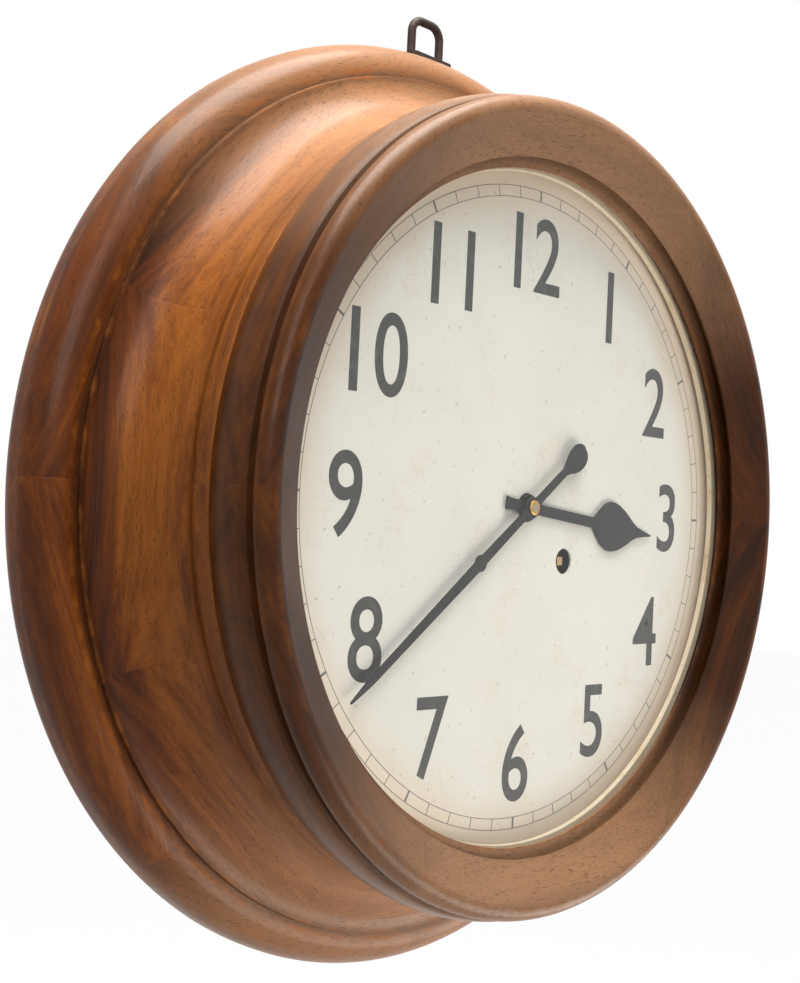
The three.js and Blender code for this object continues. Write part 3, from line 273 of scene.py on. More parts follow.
@dataclass(frozen=True)
class TurnedWood(Finish):
    """Polished hardwood, turned from rings of short blocks whose grain runs along the ring.

    The top and the underside are painted lighter, a painted sheen of the light falling on them; wax has
    gathered in the quirks and the polish is thin on the arrises. On the front course, painted light and
    shade change the tone from one radius to another.
    """

    dark: Colour
    middle: Colour
    light: Colour
    # The colour of the painted sheen on the top and the underside.
    faded: Colour
    blocks: int
    ring_depth: float
    # The front radii and the tone after them paint light and shade by radius on the front course.
    front_radii: Pair
    front_tone: Pair
    quirks: tuple[Pair, ...]
    arrises: tuple[Pair, ...]
    growth: Grain = Grain((2.2, 120.0, 100.0), 5.0, 0.58, 0.2)
    streaks: Grain = Grain((7.0, 480.0, 440.0), 3.0, 0.6, 0.1)
    pores: Grain = Grain((190.0, 2400.0, 2400.0), 1.0, 0.5)
    block_tilt: float = 0.06
    joint_width: float = 0.3
    wax_reach: float = 4.2
    wear_reach: float = 2.4
    grain_depth: float = 0.05
    hand_turned_depth: float = 0.16

    def near(self, r: Recipe, radius: Wire, level: Wire, corner: Pair, reach: float) -> Wire:
        """Goes from 1 on a corner of the profile to 0 at a reach from it, both in mm."""
        distance = r.length(radius - corner[0] * MM, level - corner[1] * MM)
        return 1.0 - r.rise(distance, 0.0, reach * MM)

    def build(self, r: Recipe) -> None:
        """Writes the grain of each block, the wax, the wear and the polish.

        Args:
            r: The material's recipe.
        """
        point = r.place()
        x, y, z = r.parts(point)
        level = y * -1.0
        radius = r.length(x, z)

        # Where the point lies in its own block of its own course.
        course = r.math("FLOOR", level / self.ring_depth)
        turn = r.math("ARCTAN2", x, z) * (self.blocks / math.tau) + course * 0.5 + self.blocks * 2.0
        number = r.math("FLOOR", turn)
        inside = (turn - number - 0.5) * (math.tau / self.blocks)
        block = r.math("FLOORED_MODULO", number, float(self.blocks))
        seed = r.node(
            "TexWhiteNoise", {"noise_dimensions": "2D"}, {"Vector": r.vector(block, course, 0.0)}, "Color"
        )
        chance, tilt, _ = r.parts(seed)
        along = radius * r.math("SINE", inside)
        across = radius * r.math("COSINE", inside) + along * (tilt - 0.5) * self.block_tilt

        # The colour of the wood, block by block.
        axes, shift = r.vector(along, across, y), r.stretched(seed, (31.0, 47.0, 59.0))
        growth, streak = r.grain(self.growth, axes, shift), r.grain(self.streaks, axes, shift)
        pore = r.rise(r.grain(self.pores, axes, shift), 0.58, 0.7)
        patina = r.noise(point, 11.0, 3.0, 0.55)
        # Painted light and shade: the front course is lighter or darker by radius between the front radii.
        outward = r.rise(radius, self.front_radii[0] * MM, self.front_radii[1] * MM)
        inner, outer = self.front_tone
        front = r.math("MINIMUM", course, 1.0) * (inner + outward * (outer - inner))
        tone = growth * 0.62 + streak * 0.34 + (chance - 0.5) * 0.07 + (patina - 0.5) * 0.2 + front - 0.03
        wood = r.ramp(tone, [(0.28, self.dark), (0.5, self.middle), (0.74, self.light)])
        # Painted sheen: the top and underside are blended to a lighter tint, standing in for the light there.
        facing_up = z / radius + (patina - 0.5) * 0.3
        painted_sheen = r.rise(facing_up, 0.42, 1.0) * 0.6 + r.rise(facing_up * -1.0, 0.5, 1.05) * 0.56
        wood = r.blend(painted_sheen * (0.7 + growth * 0.5), wood, self.faded)
        wood = r.blend(pore * 0.55, wood, self.dark)

        # Wax in the joints and quirks, and wear on the arrises.
        edge = (math.pi / self.blocks - r.math("ABSOLUTE", inside)) * radius
        joint = 1.0 - r.rise(edge, 0.0, self.joint_width * MM)
        corners = [self.near(r, radius, level, corner, self.wax_reach) for corner in self.quirks]
        wax = r.most([joint * 0.22, *corners]) * (0.55 + patina * 0.6)
        worn = r.most([self.near(r, radius, level, corner, self.wear_reach) for corner in self.arrises])
        worn = worn * r.rise(r.noise(point, 60.0, 4.0, 0.65), 0.42, 0.68)
        wood = r.blend(wax * 0.58, wood, shaded(self.dark, 0.32))
        wood = r.blend(worn * 0.5, wood, shaded(self.light, 1.35))

        # The polish.
        scuffs = r.rise(r.noise(r.stretched(point, (220.0, 900.0, 220.0)), 1.0, 2.0, 0.6), 0.66, 0.74)
        rough = 0.3 + streak * 0.12 + wax * 0.22 + worn * 0.15 + scuffs * 0.12
        height = growth * 0.5 + streak * 0.3 - pore * 0.5 - joint * 0.8
        normal = r.bump(height, self.grain_depth, r.bump(r.noise(point, 38.0), self.hand_turned_depth))
        r.principled(
            Base_Color=wood, Roughness=rough, Normal=normal, IOR=1.5, Specular_IOR_Level=0.14,
            Coat_Weight=0.07 - wax * 0.05, Coat_Roughness=0.12,
        )


@dataclass(frozen=True)
class PlankWood(Finish):
    """Plain planks for the back, oiled once and dark with age."""

    dark: Colour
    light: Colour
    plank: float
    seam: Colour
    dust: Colour
    growth: Grain = Grain((70.0, 70.0, 5.0), 5.0, 0.6, 1.2)
    fibres: Grain = Grain((700.0, 700.0, 14.0), 3.0, 0.6)

    def build(self, r: Recipe) -> None:
        """Writes long grain, plank joints and dust.

        Args:
            r: The material's recipe.
        """
        point = r.place()
        x, _, _ = r.parts(point)
        number = r.math("FLOOR", x / self.plank + 0.5)
        joint = 1.0 - r.rise(r.math("PINGPONG", x + self.plank * 0.5, self.plank * 0.5), 0.0002, 0.0009)
        shift = r.vector(number * 7.3, number * 3.1, number * 11.7)
        grain, fine = r.grain(self.growth, point, shift), r.grain(self.fibres, point, shift)
        wood = r.ramp(grain * 0.8 + fine * 0.35 - 0.08, [(0.3, self.dark), (0.7, self.light)])
        wood = r.blend(joint * 0.8, wood, self.seam)
        wood = r.blend(r.rise(r.noise(point, 18.0, 4.0, 0.6), 0.5, 0.75) * 0.28, wood, self.dust)
        normal = r.bump(grain * 0.4 + fine * 0.4 - joint, 0.12)
        r.principled(Base_Color=wood, Roughness=0.62 + fine * 0.2, Normal=normal)


@dataclass(frozen=True)
class DialPaint(Finish):
    """White paint on sheet metal, creamy towards the edge where light and smoke reached it."""

    ground: Colour
    margin: Colour
    cool: Colour
    warm: Colour
    speck: Colour
    crack: Colour
    margin_start: float
    margin_end: float

    def build(self, r: Recipe) -> None:
        """Writes the aged paint with its margin, clouds, specks and fine cracks.

        Args:
            r: The material's recipe.
        """
        point = r.place()
        x, _, z = r.parts(point)
        cloud, blotch = r.noise(point, 14.0, 4.0, 0.6), r.noise(point, 33.0, 3.0, 0.6)
        aged = r.rise(r.length(x, z) + (cloud - 0.5) * 0.02, self.margin_start * MM, self.margin_end * MM)
        paint = r.blend(r.rise(cloud, 0.35, 0.72) * 0.55, self.ground, self.cool)
        paint = r.blend(r.rise(blotch, 0.52, 0.74) * 0.4, paint, self.warm)
        paint = r.blend(aged * 0.92, paint, self.margin)
        paint = r.blend(r.rise(r.noise(point, 420.0, 1.0), 0.72, 0.78) * 0.35, paint, self.speck)
        cells = {"Vector": point, "Scale": 130.0}
        edge = r.node("TexVoronoi", {"feature": "DISTANCE_TO_EDGE"}, cells)
        crack = (1.0 - r.rise(edge, 0.0, 0.035)) * r.rise(blotch, 0.45, 0.7)
        paint = r.blend(crack * 0.16, paint, self.crack)
        normal = r.bump(r.noise(point, 55.0, 3.0) * 0.7 - crack * 0.25, 0.06)
        r.principled(Base_Color=paint, Roughness=0.4 + blotch * 0.2, Normal=normal, IOR=1.45)


@dataclass(frozen=True)
class ThinPaint(Finish):
    """Dark paint laid on by brush, rubbed a little thin."""

    full: Colour
    thin: Colour

    def build(self, r: Recipe) -> None:
        """Writes brush tone and thin spots.

        Args:
            r: The material's recipe.
        """
        point = r.place()
        wear, tone = r.rise(r.noise(point, 210.0, 4.0, 0.7), 0.5, 0.72), r.noise(point, 40.0)
        paint = r.blend(wear * 0.55 + tone * 0.25, self.full, self.thin)
        r.principled(Base_Color=paint, Roughness=0.45 + tone * 0.2, Normal=r.bump(wear, 0.01))


@dataclass(frozen=True)
class Metal(Finish):
    """A bare or darkened metal with its tool marks, tarnish and handling."""

    clean: Colour
    aged: Colour
    roughness: float
    ageing: float
    metallic: float = 1.0
    marks: Triple = (900.0, 60.0, 900.0)
    depth: float = 0.008

    def build(self, r: Recipe) -> None:
        """Writes tarnish clouds, fine marks and pits.

        Args:
            r: The material's recipe.
        """
        point = r.place()
        cloud = r.noise(point, 70.0, 4.0, 0.65)
        marks = r.noise(r.stretched(point, self.marks), 1.0, 3.0, 0.6)
        pits = r.rise(r.noise(point, 600.0, 2.0, 0.6), 0.62, 0.75)
        old = r.rise(cloud + (marks - 0.5) * 0.25, 0.62 - self.ageing * 0.4, 0.86 - self.ageing * 0.3)
        tint = r.blend(pits * 0.25, r.blend(old, self.clean, self.aged), shaded(self.aged, 0.5))
        rough = self.roughness + old * 0.2 + marks * 0.12
        normal = r.bump(marks * 0.6 + cloud * 0.4 - pits * 0.6, self.depth)
        r.principled(Base_Color=tint, Metallic=self.metallic - old * 0.15, Roughness=rough, Normal=normal)


@dataclass(frozen=True)
class SheetGlass(Finish):
    """Flat window glass, which shows only its reflections and a little dust."""

    tint: Colour

    def build(self, r: Recipe) -> None:
        """Writes a clear sheet with mirror light by its angle and faint dust.

        Args:
            r: The material's recipe.
        """
        dust = r.rise(r.noise(r.place(), 45.0, 5.0, 0.65), 0.5, 0.85)
        facing = r.node("LayerWeight", inputs={"Blend": 0.5}, output="Facing")
        cover = facing**5.0 * 0.9 + 0.022 + dust * 0.01
        r.principled(Base_Color=self.tint, Metallic=1.0, Roughness=0.03 + dust * 0.1, Alpha=cover)


# In both woods the tint for the top and underside is a painted sheen; the front tone paints light and shade.
CASE_WOOD = TurnedWood(
    "case_polish", dark=rgb(50, 21, 4), middle=rgb(100, 49, 11), light=rgb(150, 86, 28),
    faded=rgb(188, 138, 96), blocks=8, ring_depth=0.029, front_radii=(180.0, 198.0),
    front_tone=(0.2, -0.1),
    quirks=((200.5, 29.0), (175.5, 67.0), (178.0, 68.0), (209.0, 18.0)),
    arrises=((217.5, 9.0), (217.5, 13.0), (200.5, 30.5), (178.0, 79.0), (203.5, 28.0)),
)
RING_WOOD = TurnedWood(
    "bezel_polish", dark=rgb(38, 16, 2), middle=rgb(70, 34, 5), light=rgb(104, 57, 14),
    faded=rgb(180, 137, 102), blocks=6, ring_depth=0.08, front_radii=(171.0, 178.0),
    front_tone=(-0.07, 0.12),
    quirks=((176.7, 101.0), (178.2, 101.2), (154.2, 97.2)),
    arrises=((178.7, 105.2), (173.1, 110.8), (150.0, 94.5), (181.4, 90.6)),
)
BOARD_WOOD = PlankWood(
    "back_planks", dark=rgb(92, 62, 38), light=rgb(150, 110, 72), plank=0.124, seam=rgb(30, 20, 13),
    dust=rgb(150, 138, 120),
)
DIAL_WHITE = DialPaint(
    "dial_enamel", ground=rgb(231, 231, 223), margin=rgb(229, 211, 188), cool=rgb(222, 224, 214),
    warm=rgb(226, 216, 202), speck=rgb(140, 112, 84), crack=rgb(150, 138, 118), margin_start=122.0,
    margin_end=152.0,
)
NUMBER_BLACK = ThinPaint("number_paint", rgb(38, 38, 38), rgb(96, 96, 92))
TRACK_GREY = ThinPaint("track_paint", rgb(96, 94, 88), rgb(150, 148, 138))
HAND_BLACK = Metal(
    "hand_blacking", rgb(30, 29, 30), rgb(48, 42, 38), 0.42, 0.3, metallic=0.35,
    marks=(300.0, 300.0, 300.0),
)
LOOP_IRON = Metal(
    "forged_iron", rgb(66, 58, 54), rgb(58, 40, 30), 0.5, 0.6, metallic=0.6,
    marks=(240.0, 240.0, 240.0), depth=0.12,
)
BRASS = Metal("old_brass", rgb(190, 152, 92), rgb(118, 88, 50), 0.26, 0.35)
SIGHT_BRASS = Metal("lacquered_brass", rgb(240, 226, 200), rgb(222, 200, 164), 0.42, 0.3, metallic=0.2)
WORK_BRASS = Metal("movement_brass", rgb(192, 162, 112), rgb(142, 112, 72), 0.24, 0.2)
STEEL = Metal("movement_steel", rgb(158, 156, 152), rgb(96, 88, 80), 0.24, 0.25)
SCREW_STEEL = Metal("screw_steel", rgb(120, 114, 106), rgb(70, 54, 42), 0.34, 0.5)
GLASS = SheetGlass("dial_glass", (0.96, 0.98, 0.97, 1.0))


# ---- Making pieces ----


class Body(Enum):
    """The bodies that a new piece can ride on."""

    CASE = "case"
    BEZEL = "bezel"
    MINUTE = "minute_pipe"
    HOUR = "hour_pipe"
    CENTRE = "centre"


def rounded(mesh: Mesh, edges: Sequence, width: float, steps: int = 2) -> None:
    """Rounds some edges to a width in mm."""
    settings = {"segments": steps, "profile": 0.5, "affect": "EDGES", "material": -1, "clamp_overlap": True}
    bmesh.ops.bevel(mesh, geom=edges, offset=width * MM, **settings)


def softened(mesh: Mesh, width: float) -> Mesh:
    """Rounds every sharp edge of a mesh to a width in mm and gives the mesh back."""
    rounded(mesh, [e for e in mesh.edges if len(e.link_faces) == 2 and e.calc_face_angle() > SHARP], width)
    return mesh


def placed(mesh: Mesh, matrix: Matrix) -> Mesh:
    """Moves a whole mesh and gives it back."""
    bmesh.ops.transform(mesh, matrix=matrix, verts=mesh.verts)
    return mesh


def stood(middle: Vector, facing: Vector) -> Matrix:
    """Gives the matrix that stands an upright piece at a place, facing a way."""
    return Matrix.Translation(middle) @ facing.to_track_quat("Z", "Y").to_matrix().to_4x4()


def picked(parts: Iterable, kind: type) -> list:
    """Picks the points, edges or faces from what an operator gives back."""
    return [part for part in parts if isinstance(part, kind)]


def linked(name: str, data: bpy.types.ID) -> bpy.types.Object:
    """Makes an object in the scene.

    Args:
        name: Its name.
        data: Its mesh, text, lamp or camera.

    Returns:
        The object.
    """
    made = bpy.data.objects.new(name, data)
    bpy.context.scene.collection.objects.link(made)
    return made


def kept(name: str, mesh: Mesh) -> bpy.types.Mesh:
    """Writes a mesh into the file.

    Args:
        name: The name of its data.
        mesh: The mesh; it is freed.

    Returns:
        The data.
    """
    data = bpy.data.meshes.new(name)
    mesh.to_mesh(data)
    mesh.free()
    return data


def joined(meshes: Iterable[Mesh]) -> Mesh:
    """Puts several meshes into one.

    Args:
        meshes: The meshes; they are freed.

    Returns:
        The joined mesh.
    """
    whole = bmesh.new()
    for mesh in meshes:
        carrier = kept("carrier", mesh)
        whole.from_mesh(carrier)
        bpy.data.meshes.remove(carrier)
    return whole


def add_piece(
    name: str, mesh: Mesh, finish: Finish, body: Body, stands_for: Iterable[str] = ()
) -> None:
    """Turns a mesh into a finished piece that rides on a body.

    Args:
        name: The piece's name.
        mesh: Its closed mesh, in place; it is freed.
        finish: What covers it.
        body: What it moves with.
        stands_for: The frame's nodes that it replaces.
    """
    round_up_to, flat_weight = math.radians(32.0), 100
    bmesh.ops.recalc_face_normals(mesh, faces=mesh.faces)
    data = kept(name, mesh)
    data.shade_smooth()
    data.set_sharp_from_angle(angle=round_up_to)
    data.materials.append(finish.material())
    piece = linked(name, data)
    flats = piece.modifiers.new("flats_stay_flat", "WEIGHTED_NORMAL")
    flats.weight, flats.keep_sharp = flat_weight, True
    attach(piece, body.value)
    if stands_for:
        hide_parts(*stands_for)
    LOG.info("piece %s: %d faces on %s", name, len(data.polygons), body.value)


@dataclass(frozen=True)
class Arc:
    """Part of an ellipse in an outline.

    The centre and the half axes are radius and level in mm. An angle of 0 degrees is outwards and 90
    is to the front.
    """

    centre: Pair
    half: Pair
    angles: Pair
    steps: int


@dataclass
class Turning:
    """A closed outline of radius and level that is spun about the hand arbor into so many sides."""

    sides: int = 256
    mesh: Mesh = field(default_factory=bmesh.new)
    line: list[BMVert] = field(default_factory=list)

    def to(self, radius: float, level: float) -> "Turning":
        """Carries the outline straight on to a corner, in mm."""
        self.line.append(self.mesh.verts.new((radius * MM, -level * MM, 0.0)))
        return self

    def round(self, arc: Arc) -> "Turning":
        """Carries the outline on along an arc.

        Args:
            arc: The arc.

        Returns:
            This outline.
        """
        start, sweep = math.radians(arc.angles[0]), math.radians(arc.angles[1] - arc.angles[0])
        first = self.mesh.verts.new((math.cos(start), -math.sin(start), 0.0))
        before = len(self.mesh.verts) - 1
        bmesh.ops.spin(self.mesh, geom=[first], cent=(0, 0, 0), axis=(0, 0, 1), angle=-sweep, steps=arc.steps)
        self.mesh.verts.ensure_lookup_table()
        points = list(self.mesh.verts)[before:]
        bmesh.ops.scale(self.mesh, vec=(arc.half[0] * MM, arc.half[1] * MM, 1.0), verts=points)
        bmesh.ops.translate(self.mesh, vec=(arc.centre[0] * MM, -arc.centre[1] * MM, 0.0), verts=points)
        self.line.extend(points)
        return self

    def spun(self) -> Mesh:
        """Closes the outline and spins it.

        Returns:
            The closed mesh.
        """
        for first, second in zip(self.line, self.line[1:] + self.line[:1]):
            if self.mesh.edges.get((first, second)) is None:
                self.mesh.edges.new((first, second))
        bmesh.ops.spin(
            self.mesh, geom=list(self.mesh.verts) + list(self.mesh.edges), cent=(0, 0, 0), axis=AXLE,
            angle=math.tau, steps=self.sides, use_merge=True,
        )
        bmesh.ops.remove_doubles(self.mesh, verts=self.mesh.verts, dist=1e-7)
        return self.mesh


def flat_ring(inner: float, outer: float, back: float, front: float, sides: int) -> Mesh:
    """Turns a square ring between two radii and two levels, mm; it is a disc if the inner radius is 0."""
    return Turning(sides).to(inner, back).to(outer, back).to(outer, front).to(inner, front).spun()


@dataclass(frozen=True)
class SlottedHead:
    """The head of a small screw with one slot, in mm."""

    radius: float
    height: float
    slot_width: float
    slot_depth: float
    sides: int = 28
    seam: float = 0.01

    def made(self, place: Vector, facing: Vector, turn: float) -> Mesh:
        """Builds the head with its seat at a place.

        Args:
            place: The middle of its underside, metres.
            facing: The way it faces.
            turn: How far its slot is turned, degrees.

        Returns:
            The closed mesh.
        """
        mesh = bmesh.new()
        bmesh.ops.create_cone(
            mesh, cap_ends=True, segments=self.sides, radius1=self.radius * MM, radius2=self.radius * MM,
            depth=self.height * MM, matrix=Matrix.Translation((0, 0, self.height * MM / 2)),
        )
        half = self.slot_width * MM / 2
        for side in (-half, half):
            everything = list(mesh.verts) + list(mesh.edges) + list(mesh.faces)
            bmesh.ops.bisect_plane(mesh, geom=everything, plane_co=(side, 0, 0), plane_no=(1, 0, 0))
        strip = [f for f in mesh.faces if f.normal.z > 0.9 and abs(f.calc_center_median().x) < half]
        bmesh.ops.inset_region(mesh, faces=strip, thickness=self.seam * MM, depth=0.0)
        floor = list({v for f in strip for v in f.verts})
        bmesh.ops.translate(mesh, vec=(0, 0, -self.slot_depth * MM), verts=floor)
        return placed(mesh, stood(place, facing) @ Matrix.Rotation(math.radians(turn), 4, "Z"))


# ---- The clock's sub-assemblies ----


@dataclass
class DrumCase:
    """The turned case: rim, nose, cove, bead and lip, with its back board."""

    rim: Arc = Arc((209.0, 9.0), (8.5, 9.0), (-90, 0), 10)
    nose: Arc = Arc((203.5, 13.0), (14.0, 15.0), (0, 90), 18)
    drum: Pair = (200.5, 28.0)
    cove: Arc = Arc((200.5, 66.0), (25.0, 35.5), (270, 180), 26)
    bead: Arc = Arc((176.0, 70.0), (2.0, 2.0), (-75, 0), 5)
    lip: Arc = Arc((176.8, 77.8), (1.2, 1.2), (0, 90), 5)
    hollow: float = 155.0
    depth: float = 79.0
    board_seat: float = 163.0
    seat_level: float = 9.0
    softness: float = 0.5
    board: float = 162.7
    board_levels: Pair = (0.6, 8.7)
    board_softness: float = 0.6
    screws: int = 6
    screw_ring: float = 154.0
    first_screw: float = 15.0
    slot_turn: float = 53.0
    head: SlottedHead = SlottedHead(3.4, 0.5, 0.9, 0.35)

    def build(self) -> None:
        """Turns the drum and lays the back board with its screws in."""
        turning = Turning().round(self.rim).round(self.nose).to(*self.drum)
        turning.round(self.cove).round(self.bead).round(self.lip)
        turning.to(self.hollow, self.depth).to(self.hollow, self.seat_level)
        turning.to(self.board_seat, self.seat_level).to(self.board_seat, 0.0)
        drum = softened(turning.spun(), self.softness)
        add_piece("turned_case", drum, CASE_WOOD, Body.CASE, ["case_body"])
        board = softened(flat_ring(0.0, self.board, *self.board_levels, 128), self.board_softness)
        add_piece("planked_back", board, BOARD_WOOD, Body.CASE, ["back_board"])
        heads = []
        for number in range(self.screws):
            place = at(self.screw_ring, number * 360 / self.screws + self.first_screw, self.board_levels[0])
            heads.append(self.head.made(place, AXLE, self.slot_turn * number))
        add_piece("back_board_screws", joined(heads), SCREW_STEEL, Body.CASE)


@dataclass
class HangingLoop:
    """The forged iron loop on top, with its screwed foot."""

    level: float = 8.0
    bar: float = 2.1
    half: float = 10.0
    corner: float = 6.5
    top: float = 238.3
    foot_heights: Pair = (217.8, 220.4)
    foot_size: Pair = (28.0, 13.0)
    foot_corner: float = 2.6
    foot_softness: float = 0.35
    screws: tuple[Pair, ...] = ((-4.0, 30.0), (4.0, -55.0))
    head: SlottedHead = SlottedHead(2.1, 0.9, 0.6, 0.5)

    def bow(self) -> Mesh:
        """Draws the round bar up, over and down again, with a bend between.

        Returns:
            The closed mesh.
        """
        start = Vector((-self.half, -self.level, sum(self.foot_heights) / 2)) * MM
        shoulder, reach = self.top - self.corner, self.half - self.corner
        rise, across = Vector((0, 0, shoulder * MM - start.z)), Vector((2 * reach * MM, 0, 0))
        left, right = (Vector((side, -self.level, shoulder)) * MM for side in (-reach, reach))
        mesh, foot, turn = bmesh.new(), stood(start, UP), math.radians(90)
        bmesh.ops.create_circle(mesh, cap_ends=True, segments=24, radius=self.bar * MM, matrix=foot)
        end = list(mesh.faces)
        for by, bend in ((rise, left), (across, right), (-rise, None)):
            out = bmesh.ops.extrude_face_region(mesh, geom=end)["geom"]
            bmesh.ops.translate(mesh, vec=by, verts=picked(out, BMVert))
            if bend is not None:
                end = picked(out, BMFace)
                out = bmesh.ops.spin(mesh, geom=end, cent=bend, axis=AXLE, angle=turn, steps=10)["geom_last"]
            end = picked(out, BMFace)
        return mesh

    def foot(self) -> Mesh:
        """Cuts the foot with its rounded corners.

        Returns:
            The closed mesh.
        """
        mesh = bmesh.new()
        low, high = self.foot_heights
        middle = Vector((0, -self.level, (low + high) / 2)) * MM
        size = Matrix.Diagonal((*self.foot_size, high - low, 1.0))
        bmesh.ops.create_cube(mesh, size=MM, matrix=Matrix.Translation(middle) @ size)
        uprights = [e for e in mesh.edges if abs((e.verts[0].co - e.verts[1].co).normalized().z) > 0.9]
        rounded(mesh, uprights, self.foot_corner, 6)
        return softened(mesh, self.foot_softness)

    def build(self) -> None:
        """Builds the loop, its foot and its two screws."""
        forged = joined([self.bow(), self.foot()])
        add_piece("forged_loop", forged, LOOP_IRON, Body.CASE, ["hanging_loop"])
        heads = []
        for side, turn in self.screws:
            place = Vector((side, -self.level, self.foot_heights[1])) * MM
            heads.append(self.head.made(place, UP, turn))
        add_piece("loop_screws", joined(heads), SCREW_STEEL, Body.CASE)


@dataclass
class Bezel:
    """The hinged front ring: roll, quirk, crown and sloping inner face, with its glass and brass ring."""

    back: float = 79.6
    recess: Pair = (163.5, 87.0)
    roll: Arc = Arc((177.5, 90.6), (4.0, 11.0), (-90, 70), 22)
    quirk: Pair = (176.7, 101.6)
    crown: Arc = Arc((173.1, 105.2), (5.6, 5.6), (-10, 128), 18)
    slope: Arc = Arc((158.2, 102.1), (4.6, 5.4), (200, 262), 8)
    opening: Pair = (150.0, 94.5)
    rebate: Pair = (154.5, 93.3)
    softness: float = 0.35
    pane: float = 154.2
    pane_levels: Pair = (90.6, 93.0)
    pane_softness: float = 0.25
    sight: float = 149.7
    sight_levels: Pair = (87.6, 90.3)
    sight_softness: float = 0.3

    def build(self) -> None:
        """Turns the ring, cuts the round pane and turns the brass ring behind it."""
        (recess, recess_level), (rebate, rebate_level) = self.recess, self.rebate
        turning = Turning().to(recess, self.back).round(self.roll).to(*self.quirk).round(self.crown)
        turning.round(self.slope).to(*self.opening).to(self.opening[0], rebate_level)
        turning.to(rebate, rebate_level).to(rebate, recess_level).to(recess, recess_level)
        ring = softened(turning.spun(), self.softness)
        add_piece("turned_bezel", ring, RING_WOOD, Body.BEZEL, ["bezel_ring"])
        pane = softened(flat_ring(0.0, self.pane, *self.pane_levels, 160), self.pane_softness)
        add_piece("round_pane", pane, GLASS, Body.BEZEL, ["bezel_glass"])
        sight = softened(flat_ring(self.sight, self.pane, *self.sight_levels, 160), self.sight_softness)
        add_piece("brass_sight_ring", sight, SIGHT_BRASS, Body.BEZEL, ["glazing_ring"])


@dataclass
class HingeScrews:
    """The slotted screws of the two hinge leaves at three o'clock."""

    height: float = 11.5
    slot_turn: float = 37.0
    head: SlottedHead = SlottedHead(2.3, 0.5, 0.6, 0.35)
    leaves: tuple[tuple[str, Body, Pair], ...] = (
        ("hinge_screws_case", Body.CASE, (179.8, 72.6)),
        ("hinge_screws_bezel", Body.BEZEL, (183.3, 90.4)),
    )

    def build(self) -> None:
        """Sets two screws in each leaf."""
        for name, body, (face, level) in self.leaves:
            heads = []
            for side in (-1, 1):
                place = Vector((face, -level, side * self.height)) * MM
                heads.append(self.head.made(place, OUTWARD, level + side * self.slot_turn))
            add_piece(name, joined(heads), BRASS, body)


